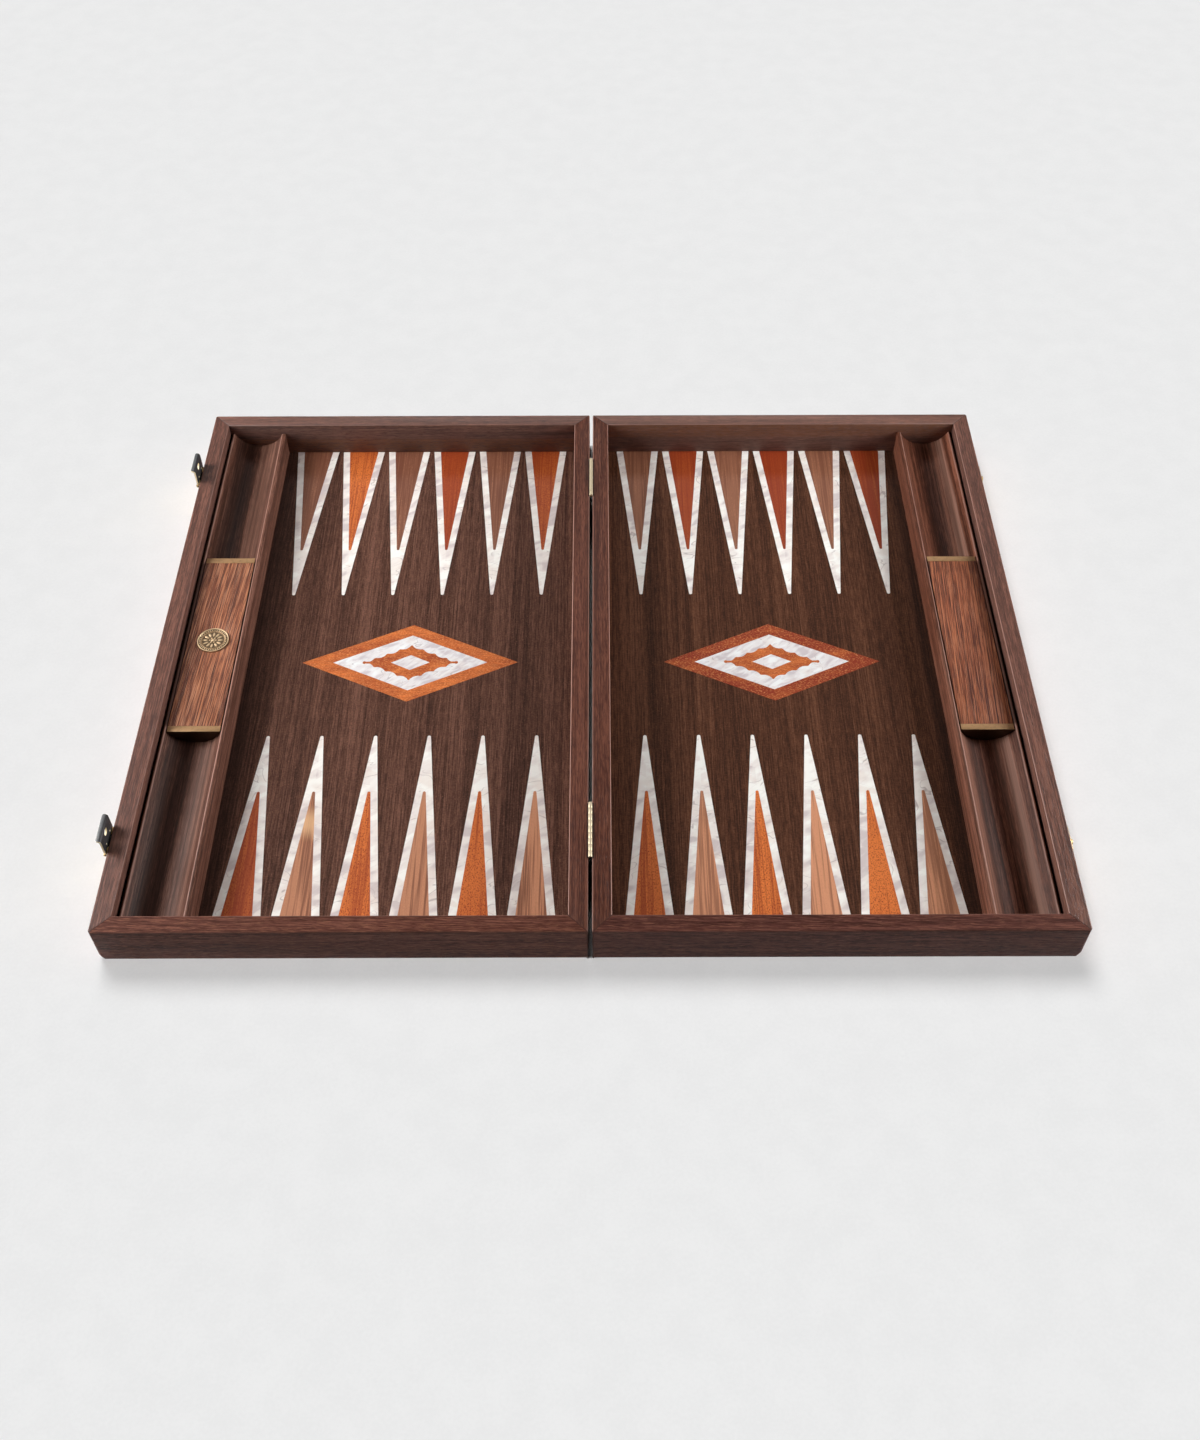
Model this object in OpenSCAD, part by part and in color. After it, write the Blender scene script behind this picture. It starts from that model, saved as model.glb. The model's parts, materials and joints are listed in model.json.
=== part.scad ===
// A folding wooden backgammon board, lying open.
// X runs across the open board, Y from the near wall to the far wall, and Z up from the floor.
// The origin is on the floor, in the middle of the gap between the two halves.

/* [Walls] */
// Width of the open board, over both outer walls
open_w = 600; // [540:10:700]
// Depth of the board, over the near and far walls
board_d = 480; // [450:5:560]
// Height of the walls
wall_h = 31.7; // [30:0.1:40]
// Thickness of the walls
wall_t = 12; // [10:0.5:15]
// Gap between the two hinge walls
spine_gap = 2.5; // [2.3:0.1:3.5]
// Radius of the rim's outer edge
rim_round = 0.8; // [0.3:0.1:1.5]
// Radius of the rim's inner edge
rim_inner_round = 0.5; // [0.2:0.1:1.5]
// Radius along the bottom of the near, far and outer walls
foot_round = 3; // [1:0.5:5]
// Radius along the bottom of the hinge walls
spine_round = 1.2; // [0.4:0.2:3]
// Radius of the upright corners
corner_round = 1.5; // [0.5:0.5:4]

/* [Bottom] */
// Thickness of the plywood panel
panel_t = 3; // [2:0.5:5]
// Width of the rabbet that the panel sits in
rabbet_w = 6; // [4:0.5:7]
// Thickness of the veneers and of the inlay
veneer_t = 0.6; // [0.4:0.1:1.2]

/* [Rack] */
// Width of the slot between the rack and the outer wall
rack_gap = 1.7; // [1:0.1:3]
// Width of the rack's outer lip
lip_w = 1.4; // [1:0.1:3]
// Radius of the trough that the checkers roll into
trough_r = 21; // [19:0.5:22]
// Height of the trough's axis above the rim
trough_rise = 1; // [0:0.5:2]
// Width of the ridge between the trough and the field
ridge_w = 2.7; // [2:0.1:5]
// Drop from the rim to the rack's top
rack_drop = 7.9; // [6:0.1:10]

/* [Divider blocks] */
// Length of a block, with its end plates
block_len = 165; // [120:5:220]
// Drop from the rim to the block's top
block_drop = 8.3; // [7:0.1:11]
// How much smaller the block's radius is than the trough's
block_slack = 1.4; // [0.8:0.1:2.5]
// Clearance under the block
block_gap = 0.35; // [0.2:0.05:0.6]
// Thickness of a brass end plate
end_t = 5; // [2:0.5:8]
// How far each block lies from the middle, towards the far wall
block_shift = 4; // [-20:1:20]
// Diameter of the medallion
medal_d = 22; // [16:1:28]
// Thickness of the medallion
medal_t = 1.8; // [1.2:0.1:2.5]
// Depth of the recess that the medallion is set in
medal_sink = 0.8; // [0.4:0.1:1]
// Width of the medallion's raised rim
medal_rim_w = 1.3; // [0.8:0.1:2.5]
// Depth of the medallion's face below its rim
medal_dish = 0.4; // [0.2:0.1:0.8]

/* [Points] */
// Points in a row, on one half
point_count = 6; // [6]
// Length of a point
point_len = 161; // [130:1:170]
// Space between two points at their bases
point_gap = 3.45; // [2:0.05:6]
// Space between the field's edge and the first point
point_margin = 7.1; // [4:0.1:12]
// Width of a point's blunt tip
point_tip = 2.3; // [1.5:0.1:4]
// Width of the pearl border at a point's base
pearl_border = 5.2; // [3:0.1:7]
// Length of a point's wooden core
core_len = 113.5; // [80:0.5:125]
// Width of the core's blunt tip
core_tip = 2; // [1:0.1:3]

/* [Diamond] */
// Width of the diamond inlay
diamond_w = 153.6; // [120:0.2:170]
// Depth of the diamond inlay
diamond_d = 72.8; // [60:0.2:78]
// Width of the pearl rhombus
pearl_w = 109.8; // [90:0.2:116]
// Depth of the pearl rhombus
pearl_d = 52.2; // [44:0.2:56]
// Width of the scalloped rhombus
scallop_w = 68; // [60:0.5:74]
// Depth of the scalloped rhombus
scallop_d = 33.2; // [30:0.2:36]
// Scallops along each side
scallop_count = 4; // [3:1:5]
// Radius of a scallop
scallop_r = 6.7; // [5:0.1:8]
// Depth of a scallop
scallop_cut = 1.4; // [0.8:0.1:1.8]
// Radius of the knob at the left and right tips
knob_r = 1.3; // [0.8:0.1:1.5]
// Width of the neck behind a knob
neck_w = 1.9; // [1.2:0.1:2.3]
// Width of the small pearl rhombus
centre_w = 27.6; // [20:0.2:32]
// Depth of the small pearl rhombus
centre_d = 14.1; // [10:0.1:16]

/* [Hinges] */
// Distance of each hinge's middle from the end of the board
hinge_inset = 74.5; // [60:0.5:120]
// Length of a hinge
hinge_len = 42; // [36:1:60]
// Knuckles of a hinge
knuckles = 9; // [7:2:11]
// Radius of the hinge pin
hinge_pin_r = 0.5; // [0.4:0.05:0.6]
// Height of the hinge pin's axis above the rim
axis_rise = 0.15; // [0.1:0.05:0.3]
// Thickness of a leaf
leaf_t = 0.95; // [0.7:0.05:1.5]
// Height of a leaf
leaf_h = 9; // [7:0.5:14]
// Drop from the hinge pin's axis to a leaf's top
leaf_drop = 0.2; // [0.15:0.05:0.5]
// Drop from a leaf's top to its screws
leaf_screw_drop = 5; // [4:0.5:5.5]
// Distance between two screws of a leaf
leaf_screw_pitch = 14; // [10:1:16]

/* [Clasps] */
// Distance of each clasp's middle from the end of the board
clasp_inset = 69; // [50:1:120]
// Width of a clasp
clasp_w = 21; // [18:0.5:26]
// Thickness of the clasp's base plate and of the catch plate
plate_t = 0.8; // [0.6:0.1:1.2]
// Height of the clasp's base plate below its pin
plate_h = 11; // [9:0.5:14]
// Height of the base plate's screws above its lower edge
plate_screw_rise = 3.6; // [3:0.2:4.4]
// Distance of the base plate's screws from its ends
plate_screw_inset = 4; // [3:0.5:5]
// Drop from the rim to the clasp's pin
clasp_pin_drop = 3.6; // [3:0.1:5]
// Radius of the clasp's pin
clasp_pin_r = 0.7; // [0.5:0.05:0.8]
// Radius of the clasp's knuckles
clasp_knuckle_r = 1.45; // [1.2:0.05:1.6]
// Width of the flap's knuckle
flap_knuckle_w = 9.6; // [8:0.2:12]
// Thickness of the flap
flap_t = 1.2; // [0.8:0.1:1.4]
// Gap between the flap and the plates
flap_gap = 0.35; // [0.25:0.05:0.6]
// Height of the flap above the rim
flap_rise = 11.3; // [10.5:0.1:14]
// How far the flap's lip reaches out of the flap
lip_reach = 2.1; // [1.5:0.1:4]
// Radius inside the lip's bend
bend_r = 0.7; // [0.4:0.1:1]
// Radius of the lip's corners
lip_corner = 1.2; // [0.5:0.1:2]
// Height of the slot's middle above the rim
slot_rise = 7.2; // [6:0.1:7.5]
// Width of the slot
slot_w = 5.2; // [4.6:0.1:7]
// Height of the slot
slot_h = 4.2; // [3.6:0.1:4.4]
// Width of a catch's plate
catch_w = 18; // [16:0.5:24]
// Height of a catch's plate
catch_h = 9.8; // [8:0.2:12]
// Distance of a catch's screws from the ends of its plate
catch_screw_inset = 2.8; // [2.5:0.1:3.5]
// Space left around the catch's nub in the slot
nub_space = 0.75; // [0.5:0.05:1]
// How far the nub stands out past the flap
nub_out = 0.7; // [0.3:0.1:1.5]
// Height of the flap's two rivets above the rim
rivet_rise = 1.2; // [0:0.1:2.5]
// Distance of the rivets from the flap's middle
rivet_y = 5; // [4:0.5:7]
// Radius of a rivet's head
rivet_r = 0.55; // [0.4:0.05:0.8]
// Height of a rivet's head
rivet_h = 0.2; // [0.1:0.05:0.22]

/* [Screws] */
// Radius of a screw's shank
screw_r = 0.9; // [0.7:0.05:1.1]
// Radius of a screw's head
screw_head_r = 1.7; // [1.5:0.05:2]
// Length of a hinge screw
screw_len = 8; // [6:0.5:9]
// Length of a clasp or catch screw
clasp_screw_len = 7; // [5:0.5:9]
// Width and depth of a screw's slot
screw_slot = 0.4; // [0.3:0.05:0.5]

/* [Clearances] */
// Radial clearance of a pin in its knuckles
pin_fit = 0.05; // [0.03:0.01:0.08]
// Clearance of a screw in its pilot hole
pilot_fit = 0.04; // [0.02:0.01:0.08]
// Gap between two knuckles, and round a leaf in its mortise
side_fit = 0.15; // [0.1:0.01:0.25]

/* [Hidden] */
$fn = 48;

// Overshoot of a cut past the face that it opens
cut = 1;

// Walls and bottom
half_w = (open_w - spine_gap) / 2;
spine_x = spine_gap / 2;
outer_x = open_w / 2;
half_x = (spine_x + outer_x) / 2;
panel_z = veneer_t;
rabbet_h = veneer_t + panel_t;
field_z = rabbet_h + veneer_t;
panel_inset = wall_t - rabbet_w;
inner_d = board_d - 2 * wall_t;

// Rack
trough_half = sqrt(pow(trough_r, 2) - pow(rack_drop + trough_rise, 2));
trough_x = outer_x - wall_t - rack_gap - lip_w - trough_half;
rack_x = trough_x - trough_half - ridge_w;
rack_w = lip_w + 2 * trough_half + ridge_w;
rack_top = wall_h - rack_drop;
trough_z = wall_h + trough_rise;

// Divider blocks
block_r = trough_r - block_slack;
block_z = trough_z - trough_r + block_gap + block_r;
block_top = wall_h - block_drop;
block_wood_len = block_len - 2 * end_t;

// Field and points
field_x = spine_x + wall_t;
field_w = rack_x - field_x;
field_mid = field_x + field_w / 2;
point_w = (field_w - 2 * point_margin - (point_count - 1) * point_gap) / point_count;
point_pitch = point_w + point_gap;
core_w = point_w - 2 * pearl_border;

// Hinges
hinge_y = board_d / 2 - hinge_inset;
axis_z = wall_h + axis_rise;
barrel_r = spine_x - pin_fit;
knuckle_len = hinge_len / knuckles;
leaf_x = spine_x + pin_fit;
leaf_top = axis_z - leaf_drop;
leaf_low = leaf_top - leaf_h;
leaf_screw_z = leaf_top - leaf_screw_drop;
mortise_d = leaf_x + leaf_t - spine_x;
arm_t = barrel_r - 2 * leaf_drop;

// Clasps, measured outwards from the outer wall's face and upwards from the rim
clasp_y = board_d / 2 - clasp_inset;
flap_n = plate_t + flap_gap + flap_t / 2;
shoulder_z = -clasp_pin_drop + clasp_knuckle_r + flap_gap;
ear_w = (clasp_w - flap_knuckle_w) / 2 - side_fit;
plate_low = -clasp_pin_drop - plate_h;
plate_notch_z = -clasp_pin_drop - clasp_knuckle_r - flap_gap;
bend_out = bend_r + flap_t;
plate_screw_z = plate_low + plate_screw_rise;
plate_screw_y = clasp_w / 2 - plate_screw_inset;

// The closed board brings a height of z above the left rim to 2 * axis_rise - z above the right rim
nub_z = 2 * axis_rise - slot_rise;
nub_w = slot_w - 2 * nub_space;
nub_h = slot_h - 2 * nub_space;
nub_n = flap_n + flap_t / 2 + nub_out;
catch_screw_y = catch_w / 2 - catch_screw_inset;

wenge = [0.30, 0.20, 0.17];
wenge_dark = [0.22, 0.15, 0.12];
mahogany = [0.72, 0.34, 0.16];
walnut = [0.62, 0.40, 0.31];
pearl = [0.88, 0.87, 0.88];
brass = [0.83, 0.70, 0.45];
steel = [0.34, 0.34, 0.35];

// Puts a right-hand piece on the left half
module on_left() mirror([1, 0, 0]) children();

// Puts a piece on both hinges or both clasps
module twice(y) for (s = [-1, 1]) translate([0, s * y, 0]) children();

// What rounding takes off a corner at the origin whose material lies towards +X and +Y
module corner_waste(r) {
    difference() {
        translate([-cut, -cut]) square(r + cut);
        translate([r, r]) circle(r);
    }
}

// A rhombus with its long axis along X
module rhombus(w, d) polygon([[-w / 2, 0], [0, -d / 2], [w / 2, 0], [0, d / 2]]);

// A wood screw that enters along -X, with its head flush with the face at X = 0
module screw_shape(length, extra_r = 0, slotted = false) {
    head_h = screw_head_r - screw_r;
    difference() {
        union() {
            rotate([0, -90, 0]) cylinder(h = length, r = screw_r + extra_r);
            rotate([0, -90, 0]) cylinder(h = head_h, r1 = screw_head_r + extra_r, r2 = screw_r + extra_r);
        }
        if (slotted)
            translate([-screw_slot, -screw_head_r - cut, -screw_slot / 2])
                cube([screw_slot + cut, 2 * (screw_head_r + cut), screw_slot]);
    }
}

// A wall's section: X runs inwards from its outer face and Y up
module wall_section(bottom_r) {
    difference() {
        square([wall_t, wall_h]);
        translate([panel_inset, -cut]) square([rabbet_w + cut, rabbet_h + cut]);
        corner_waste(bottom_r);
        translate([0, wall_h]) mirror([0, 1]) corner_waste(rim_round);
        translate([wall_t, wall_h]) rotate(180) corner_waste(rim_inner_round);
    }
}

// A mitred wall along X, with its outer face at Y = 0 and its inner face towards +Y
module wall(length, bottom_r) {
    intersection() {
        rotate([90, 0, 90])
            translate([0, 0, -length / 2])
                linear_extrude(length) wall_section(bottom_r);
        linear_extrude(wall_h) {
            difference() {
                polygon([
                    [-length / 2, 0], [length / 2, 0],
                    [length / 2 - wall_t, wall_t], [-length / 2 + wall_t, wall_t]
                ]);
                translate([-length / 2, 0]) corner_waste(corner_round);
                translate([length / 2, 0]) mirror([1, 0]) corner_waste(corner_round);
            }
        }
    }
}

module near_wall() translate([half_x, -board_d / 2, 0]) wall(half_w, foot_round);

module far_wall() translate([half_x, board_d / 2, 0]) rotate(180) wall(half_w, foot_round);

// The outer wall, with pilot holes for the screws at the given heights and places
module outer_wall(screw_z, screw_y) {
    difference() {
        translate([outer_x, 0, 0]) rotate(90) wall(board_d, foot_round);
        translate([outer_x + plate_t, 0, wall_h + screw_z])
            twice(clasp_y) twice(screw_y) screw_shape(clasp_screw_len, pilot_fit);
    }
}

// The hinge wall, with a mortise and pilot holes for each leaf
module hinge_wall() {
    difference() {
        translate([spine_x, 0, 0]) rotate(-90) wall(board_d, spine_round);
        twice(hinge_y) {
            translate([spine_x - cut, -hinge_len / 2 - side_fit, leaf_low - side_fit])
                cube([mortise_d + cut, hinge_len + 2 * side_fit, leaf_h + cut + 2 * side_fit]);
            leaf_screws() screw_shape(screw_len, pilot_fit);
        }
    }
}

// The plywood panel, in the walls' rabbets
module panel() {
    translate([spine_x + panel_inset, -board_d / 2 + panel_inset, panel_z])
        cube([half_w - 2 * panel_inset, board_d - 2 * panel_inset, panel_t]);
}

module underside_veneer() {
    translate([spine_x + panel_inset, -board_d / 2 + panel_inset, 0])
        cube([half_w - 2 * panel_inset, board_d - 2 * panel_inset, veneer_t]);
}

// A layer of the field, one veneer thick
module inlay() translate([0, 0, rabbet_h]) linear_extrude(veneer_t) children();

// One point with a blunt tip, its base on the X axis
module point_shape(w, length, tip) {
    polygon([[-w / 2, 0], [w / 2, 0], [tip / 2, length - tip / 2], [-tip / 2, length - tip / 2]]);
    translate([0, length - tip / 2]) circle(d = tip);
}

// Both rows of points, or with a parity every second point of each row
module both_rows(parity = -1) {
    for (row = [0, 1], i = [0 : point_count - 1])
        if (parity < 0 || (i + row) % 2 == parity)
            translate([field_x + point_margin + point_w / 2 + i * point_pitch, 0])
                rotate(row == 0 ? 180 : 0)
                    translate([0, -inner_d / 2]) children();
}

module points(parity = -1) both_rows(parity) point_shape(point_w, point_len, point_tip);

module point_cores(parity = -1) both_rows(parity) point_shape(core_w, core_len, core_tip);

// The scalloped rhombus: circles bite into its sides, and its tips end in small knobs
module scalloped_rhombus() {
    a = scallop_w / 2;
    b = scallop_d / 2;
    side = sqrt(a * a + b * b);
    reach = scallop_r - scallop_cut;
    neck_len = a / scallop_count;
    difference() {
        rhombus(scallop_w, scallop_d);
        for (sx = [-1, 1], sy = [-1, 1], i = [0 : scallop_count - 1]) {
            t = (i + 0.5) / scallop_count;
            translate([sx * ((1 - t) * a + reach * b / side), sy * (t * b + reach * a / side)])
                circle(scallop_r);
        }
    }
    for (s = [-1, 1]) {
        translate([s * (a - knob_r), 0]) circle(knob_r);
        translate([s * (a - knob_r - neck_len / 2), 0]) square([neck_len, neck_w], center = true);
        translate([0, s * (b - knob_r)]) circle(knob_r * 0.7);
    }
}

module at_diamond() translate([field_mid, 0]) children();

// The field's dark veneer, with the points and the diamond cut out of it
module field_veneer() {
    inlay() {
        difference() {
            translate([field_x, -inner_d / 2]) square([field_w, inner_d]);
            points();
            at_diamond() rhombus(diamond_w, diamond_d);
        }
    }
}

module point_pearl() {
    inlay() {
        difference() {
            points();
            point_cores();
        }
    }
}

module diamond_frame() {
    inlay() at_diamond() {
        difference() {
            rhombus(diamond_w, diamond_d);
            rhombus(pearl_w, pearl_d);
        }
    }
}

module diamond_pearl() {
    inlay() at_diamond() {
        difference() {
            rhombus(pearl_w, pearl_d);
            scalloped_rhombus();
        }
    }
}

module diamond_scallop() {
    inlay() at_diamond() {
        difference() {
            scalloped_rhombus();
            rhombus(centre_w, centre_d);
        }
    }
}

module diamond_centre() inlay() at_diamond() rhombus(centre_w, centre_d);

// A section in the XZ plane, made as long as it needs to be along Y
module along_y(length) rotate([90, 0, 0]) translate([0, 0, -length / 2]) linear_extrude(length) children();

// The rack: a straight moulding with a round trough, glued between the near and far walls
module rack() {
    along_y(inner_d) {
        difference() {
            translate([rack_x, rabbet_h]) square([rack_w, rack_top - rabbet_h]);
            translate([trough_x, trough_z]) circle(trough_r, $fn = 96);
        }
    }
}

// A divider block's section: a circle's segment under a flat top
module block_section() {
    intersection() {
        translate([trough_x, block_z]) circle(block_r, $fn = 96);
        translate([trough_x - trough_r, 0]) square([2 * trough_r, block_top]);
    }
}

module block() translate([0, block_shift, 0]) along_y(block_wood_len) block_section();

module block_ends() {
    translate([0, block_shift, 0])
        twice((block_len - end_t) / 2) along_y(end_t) block_section();
}

module at_medal() translate([trough_x, block_shift, block_top - medal_sink]) children();

// The medallion: a disc whose face lies a little below its rim
module medal() {
    at_medal() {
        difference() {
            cylinder(h = medal_t, d = medal_d);
            translate([0, 0, medal_t - medal_dish])
                cylinder(h = medal_dish + cut, d = medal_d - 2 * medal_rim_w);
        }
    }
}

// Puts a shape on each screw of a leaf
module leaf_screws() {
    for (i = [-1, 0, 1])
        translate([leaf_x, i * leaf_screw_pitch, leaf_screw_z]) mirror([1, 0, 0]) children();
}

// A cylinder along Y
module rod(length, r) rotate([90, 0, 0]) cylinder(h = length, r = r, center = true);

// A hinge knuckle's section: a barrel with an arm that joins it to the leaf
module knuckle_section() {
    difference() {
        union() {
            translate([0, axis_z]) circle(barrel_r);
            translate([0, leaf_top - arm_t]) square([leaf_x + leaf_t / 2, arm_t]);
        }
        translate([0, axis_z]) circle(hinge_pin_r + pin_fit);
    }
}

// A hinge leaf with every second knuckle, counted from the near end
module hinge_leaf(first) {
    difference() {
        union() {
            translate([leaf_x, -hinge_len / 2, leaf_low]) cube([leaf_t, hinge_len, leaf_h]);
            for (i = [first : 2 : knuckles - 1])
                translate([0, (i + 0.5) * knuckle_len - hinge_len / 2, 0])
                    along_y(knuckle_len - side_fit) knuckle_section();
        }
        leaf_screws() screw_shape(screw_len, pilot_fit);
    }
}

// A piece that lies on the right outer wall: X runs outwards from its face and Z up from the rim
module on_outer_wall() translate([outer_x, 0, wall_h]) children();

// A piece round the clasp's pin, with the pin's hole
module pin_section() {
    difference() {
        union() {
            translate([flap_n, -clasp_pin_drop]) circle(clasp_knuckle_r);
            children();
        }
        translate([flap_n, -clasp_pin_drop]) circle(clasp_pin_r + pin_fit);
    }
}

// A clasp's base plate: two knuckles at its top corners carry the pin
module clasp_plate() {
    difference() {
        union() {
            translate([0, -(clasp_w - ear_w) / 2, plate_low])
                cube([plate_t, clasp_w - ear_w, plate_notch_z - plate_low]);
            twice((clasp_w - ear_w) / 2)
                along_y(ear_w) pin_section() translate([0, plate_low]) square([plate_t, plate_h]);
        }
        translate([plate_t, 0, plate_screw_z])
            twice(plate_screw_y) screw_shape(clasp_screw_len, pilot_fit);
    }
}

// The flap's section: a strip that stands up from the pin and bends out into a lip
module flap_section() {
    low = flap_n - flap_t / 2;
    translate([low, shoulder_z]) square([flap_t, flap_rise - bend_out - shoulder_z]);
    translate([low + bend_out, flap_rise - flap_t]) square([lip_reach - bend_r, flap_t]);
    translate([low + bend_out, flap_rise - bend_out]) {
        intersection() {
            difference() {
                circle(bend_out);
                circle(bend_r);
            }
            translate([-bend_out, 0]) square(bend_out);
        }
    }
}

// A rounded slot, or the nub that goes through it, as an outline in the YZ plane
module stadium(w, h) {
    square([w - h, h], center = true);
    for (s = [-1, 1]) translate([s * (w - h) / 2, 0]) circle(d = h);
}

module through_wall(depth) rotate([90, 0, 90]) linear_extrude(depth) children();

module clasp_flap() {
    difference() {
        union() {
            along_y(clasp_w) flap_section();
            along_y(flap_knuckle_w)
                pin_section()
                    translate([flap_n - flap_t / 2, -clasp_pin_drop])
                        square([flap_t, shoulder_z + clasp_pin_drop + flap_t]);
            translate([flap_n - flap_t / 2 - rivet_h, 0, rivet_rise])
                twice(rivet_y) rotate([0, 90, 0]) cylinder(h = flap_t + rivet_h, r = rivet_r, $fn = 24);
        }
        translate([0, 0, slot_rise]) through_wall(flap_n + flap_t) stadium(slot_w, slot_h);
        for (s = [0, 1])
            mirror([0, s, 0])
                translate([flap_n + flap_t / 2 + lip_reach, clasp_w / 2])
                    linear_extrude(flap_rise + cut) rotate(180) corner_waste(lip_corner);
    }
}

// A catch: a plate with a nub that goes through the flap's slot when the board is shut
module catch() {
    difference() {
        union() {
            translate([0, -catch_w / 2, nub_z - catch_h / 2]) cube([plate_t, catch_w, catch_h]);
            translate([0, 0, nub_z]) through_wall(nub_n) stadium(nub_w, nub_h);
        }
        translate([plate_t, 0, nub_z]) twice(catch_screw_y) screw_shape(clasp_screw_len, pilot_fit);
    }
}

module clasp_pin() translate([flap_n, 0, -clasp_pin_drop]) rod(clasp_w, clasp_pin_r);

module right_near_wall() color(wenge) near_wall();
module right_far_wall() color(wenge) far_wall();
module right_outer_wall() color(wenge) outer_wall(nub_z, catch_screw_y);
module right_hinge_wall() color(wenge) hinge_wall();
module right_panel() color(walnut) panel();
module right_underside_veneer() color(wenge) underside_veneer();
module right_field_veneer() color(wenge_dark) field_veneer();
module right_rack() color(wenge) rack();
module right_point_pearl() color(pearl) point_pearl();
module right_point_mahogany() color(mahogany) inlay() point_cores(1);
module right_point_walnut() color(walnut) inlay() point_cores(0);
module right_diamond_frame() color(mahogany) diamond_frame();
module right_diamond_pearl() color(pearl) diamond_pearl();
module right_diamond_scallop() color(mahogany) diamond_scallop();
module right_diamond_centre() color(pearl) diamond_centre();
module right_hinge_leaves() color(brass) twice(hinge_y) hinge_leaf(1);
module hinge_pins() color(brass) translate([0, 0, axis_z]) twice(hinge_y) rod(hinge_len, hinge_pin_r);
module right_hinge_screws() color(brass) twice(hinge_y) leaf_screws() screw_shape(screw_len);
module catches() color(brass) on_outer_wall() twice(clasp_y) catch();

module catch_screws() {
    color(brass) on_outer_wall()
        translate([plate_t, 0, nub_z])
            twice(clasp_y) twice(catch_screw_y) screw_shape(clasp_screw_len, slotted = true);
}

module left_near_wall() color(wenge) on_left() near_wall();
module left_far_wall() color(wenge) on_left() far_wall();
module left_outer_wall() color(wenge) on_left() outer_wall(plate_screw_z, plate_screw_y);
module left_hinge_wall() color(wenge) on_left() hinge_wall();
module left_panel() color(walnut) on_left() panel();
module left_underside_veneer() color(wenge) on_left() underside_veneer();
module left_field_veneer() color(wenge_dark) on_left() field_veneer();
module left_rack() color(wenge) on_left() rack();
module left_point_pearl() color(pearl) on_left() point_pearl();
module left_point_mahogany() color(mahogany) on_left() inlay() point_cores(0);
module left_point_walnut() color(walnut) on_left() inlay() point_cores(1);
module left_diamond_frame() color(mahogany) on_left() diamond_frame();
module left_diamond_pearl() color(pearl) on_left() diamond_pearl();
module left_diamond_scallop() color(mahogany) on_left() diamond_scallop();
module left_diamond_centre() color(pearl) on_left() diamond_centre();
module left_hinge_leaves() color(brass) on_left() twice(hinge_y) hinge_leaf(0);
module left_hinge_screws() color(brass) on_left() twice(hinge_y) leaf_screws() screw_shape(screw_len);
module clasp_plates() color(brass) on_left() on_outer_wall() twice(clasp_y) clasp_plate();
module clasp_pins() color(steel) on_left() on_outer_wall() twice(clasp_y) clasp_pin();

module clasp_screws() {
    color(brass) on_left() on_outer_wall()
        translate([plate_t, 0, plate_screw_z])
            twice(clasp_y) twice(plate_screw_y) screw_shape(clasp_screw_len, slotted = true);
}

module clasp_flap_near() color(steel) on_left() on_outer_wall() translate([0, -clasp_y, 0]) clasp_flap();
module clasp_flap_far() color(steel) on_left() on_outer_wall() translate([0, clasp_y, 0]) clasp_flap();

module right_block() color(walnut) block();
module right_block_ends() color(brass) block_ends();

module left_block() {
    color(walnut) on_left() {
        difference() {
            block();
            at_medal() cylinder(h = medal_sink + cut, d = medal_d + 2 * pilot_fit);
        }
    }
}

module left_block_ends() color(brass) on_left() block_ends();
module medallion() color(brass) on_left() medal();

right_near_wall();
right_far_wall();
right_outer_wall();
right_hinge_wall();
right_panel();
right_underside_veneer();
right_field_veneer();
right_rack();
right_point_pearl();
right_point_mahogany();
right_point_walnut();
right_diamond_frame();
right_diamond_pearl();
right_diamond_scallop();
right_diamond_centre();
right_hinge_leaves();
hinge_pins();
right_hinge_screws();
catches();
catch_screws();
left_near_wall();
left_far_wall();
left_outer_wall();
left_hinge_wall();
left_panel();
left_underside_veneer();
left_field_veneer();
left_rack();
left_point_pearl();
left_point_mahogany();
left_point_walnut();
left_diamond_frame();
left_diamond_pearl();
left_diamond_scallop();
left_diamond_centre();
left_hinge_leaves();
left_hinge_screws();
clasp_plates();
clasp_pins();
clasp_screws();
clasp_flap_near();
clasp_flap_far();
right_block();
right_block_ends();
left_block();
left_block_ends();
medallion();
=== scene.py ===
import json
from math import copysign, cos, pi, radians, sin
from typing import NamedTuple

import bpy
from bpy.props import FloatProperty, FloatVectorProperty, IntProperty, PointerProperty
from bpy.types import Operator, Panel, PropertyGroup
from mathutils import Matrix, Vector

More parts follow.
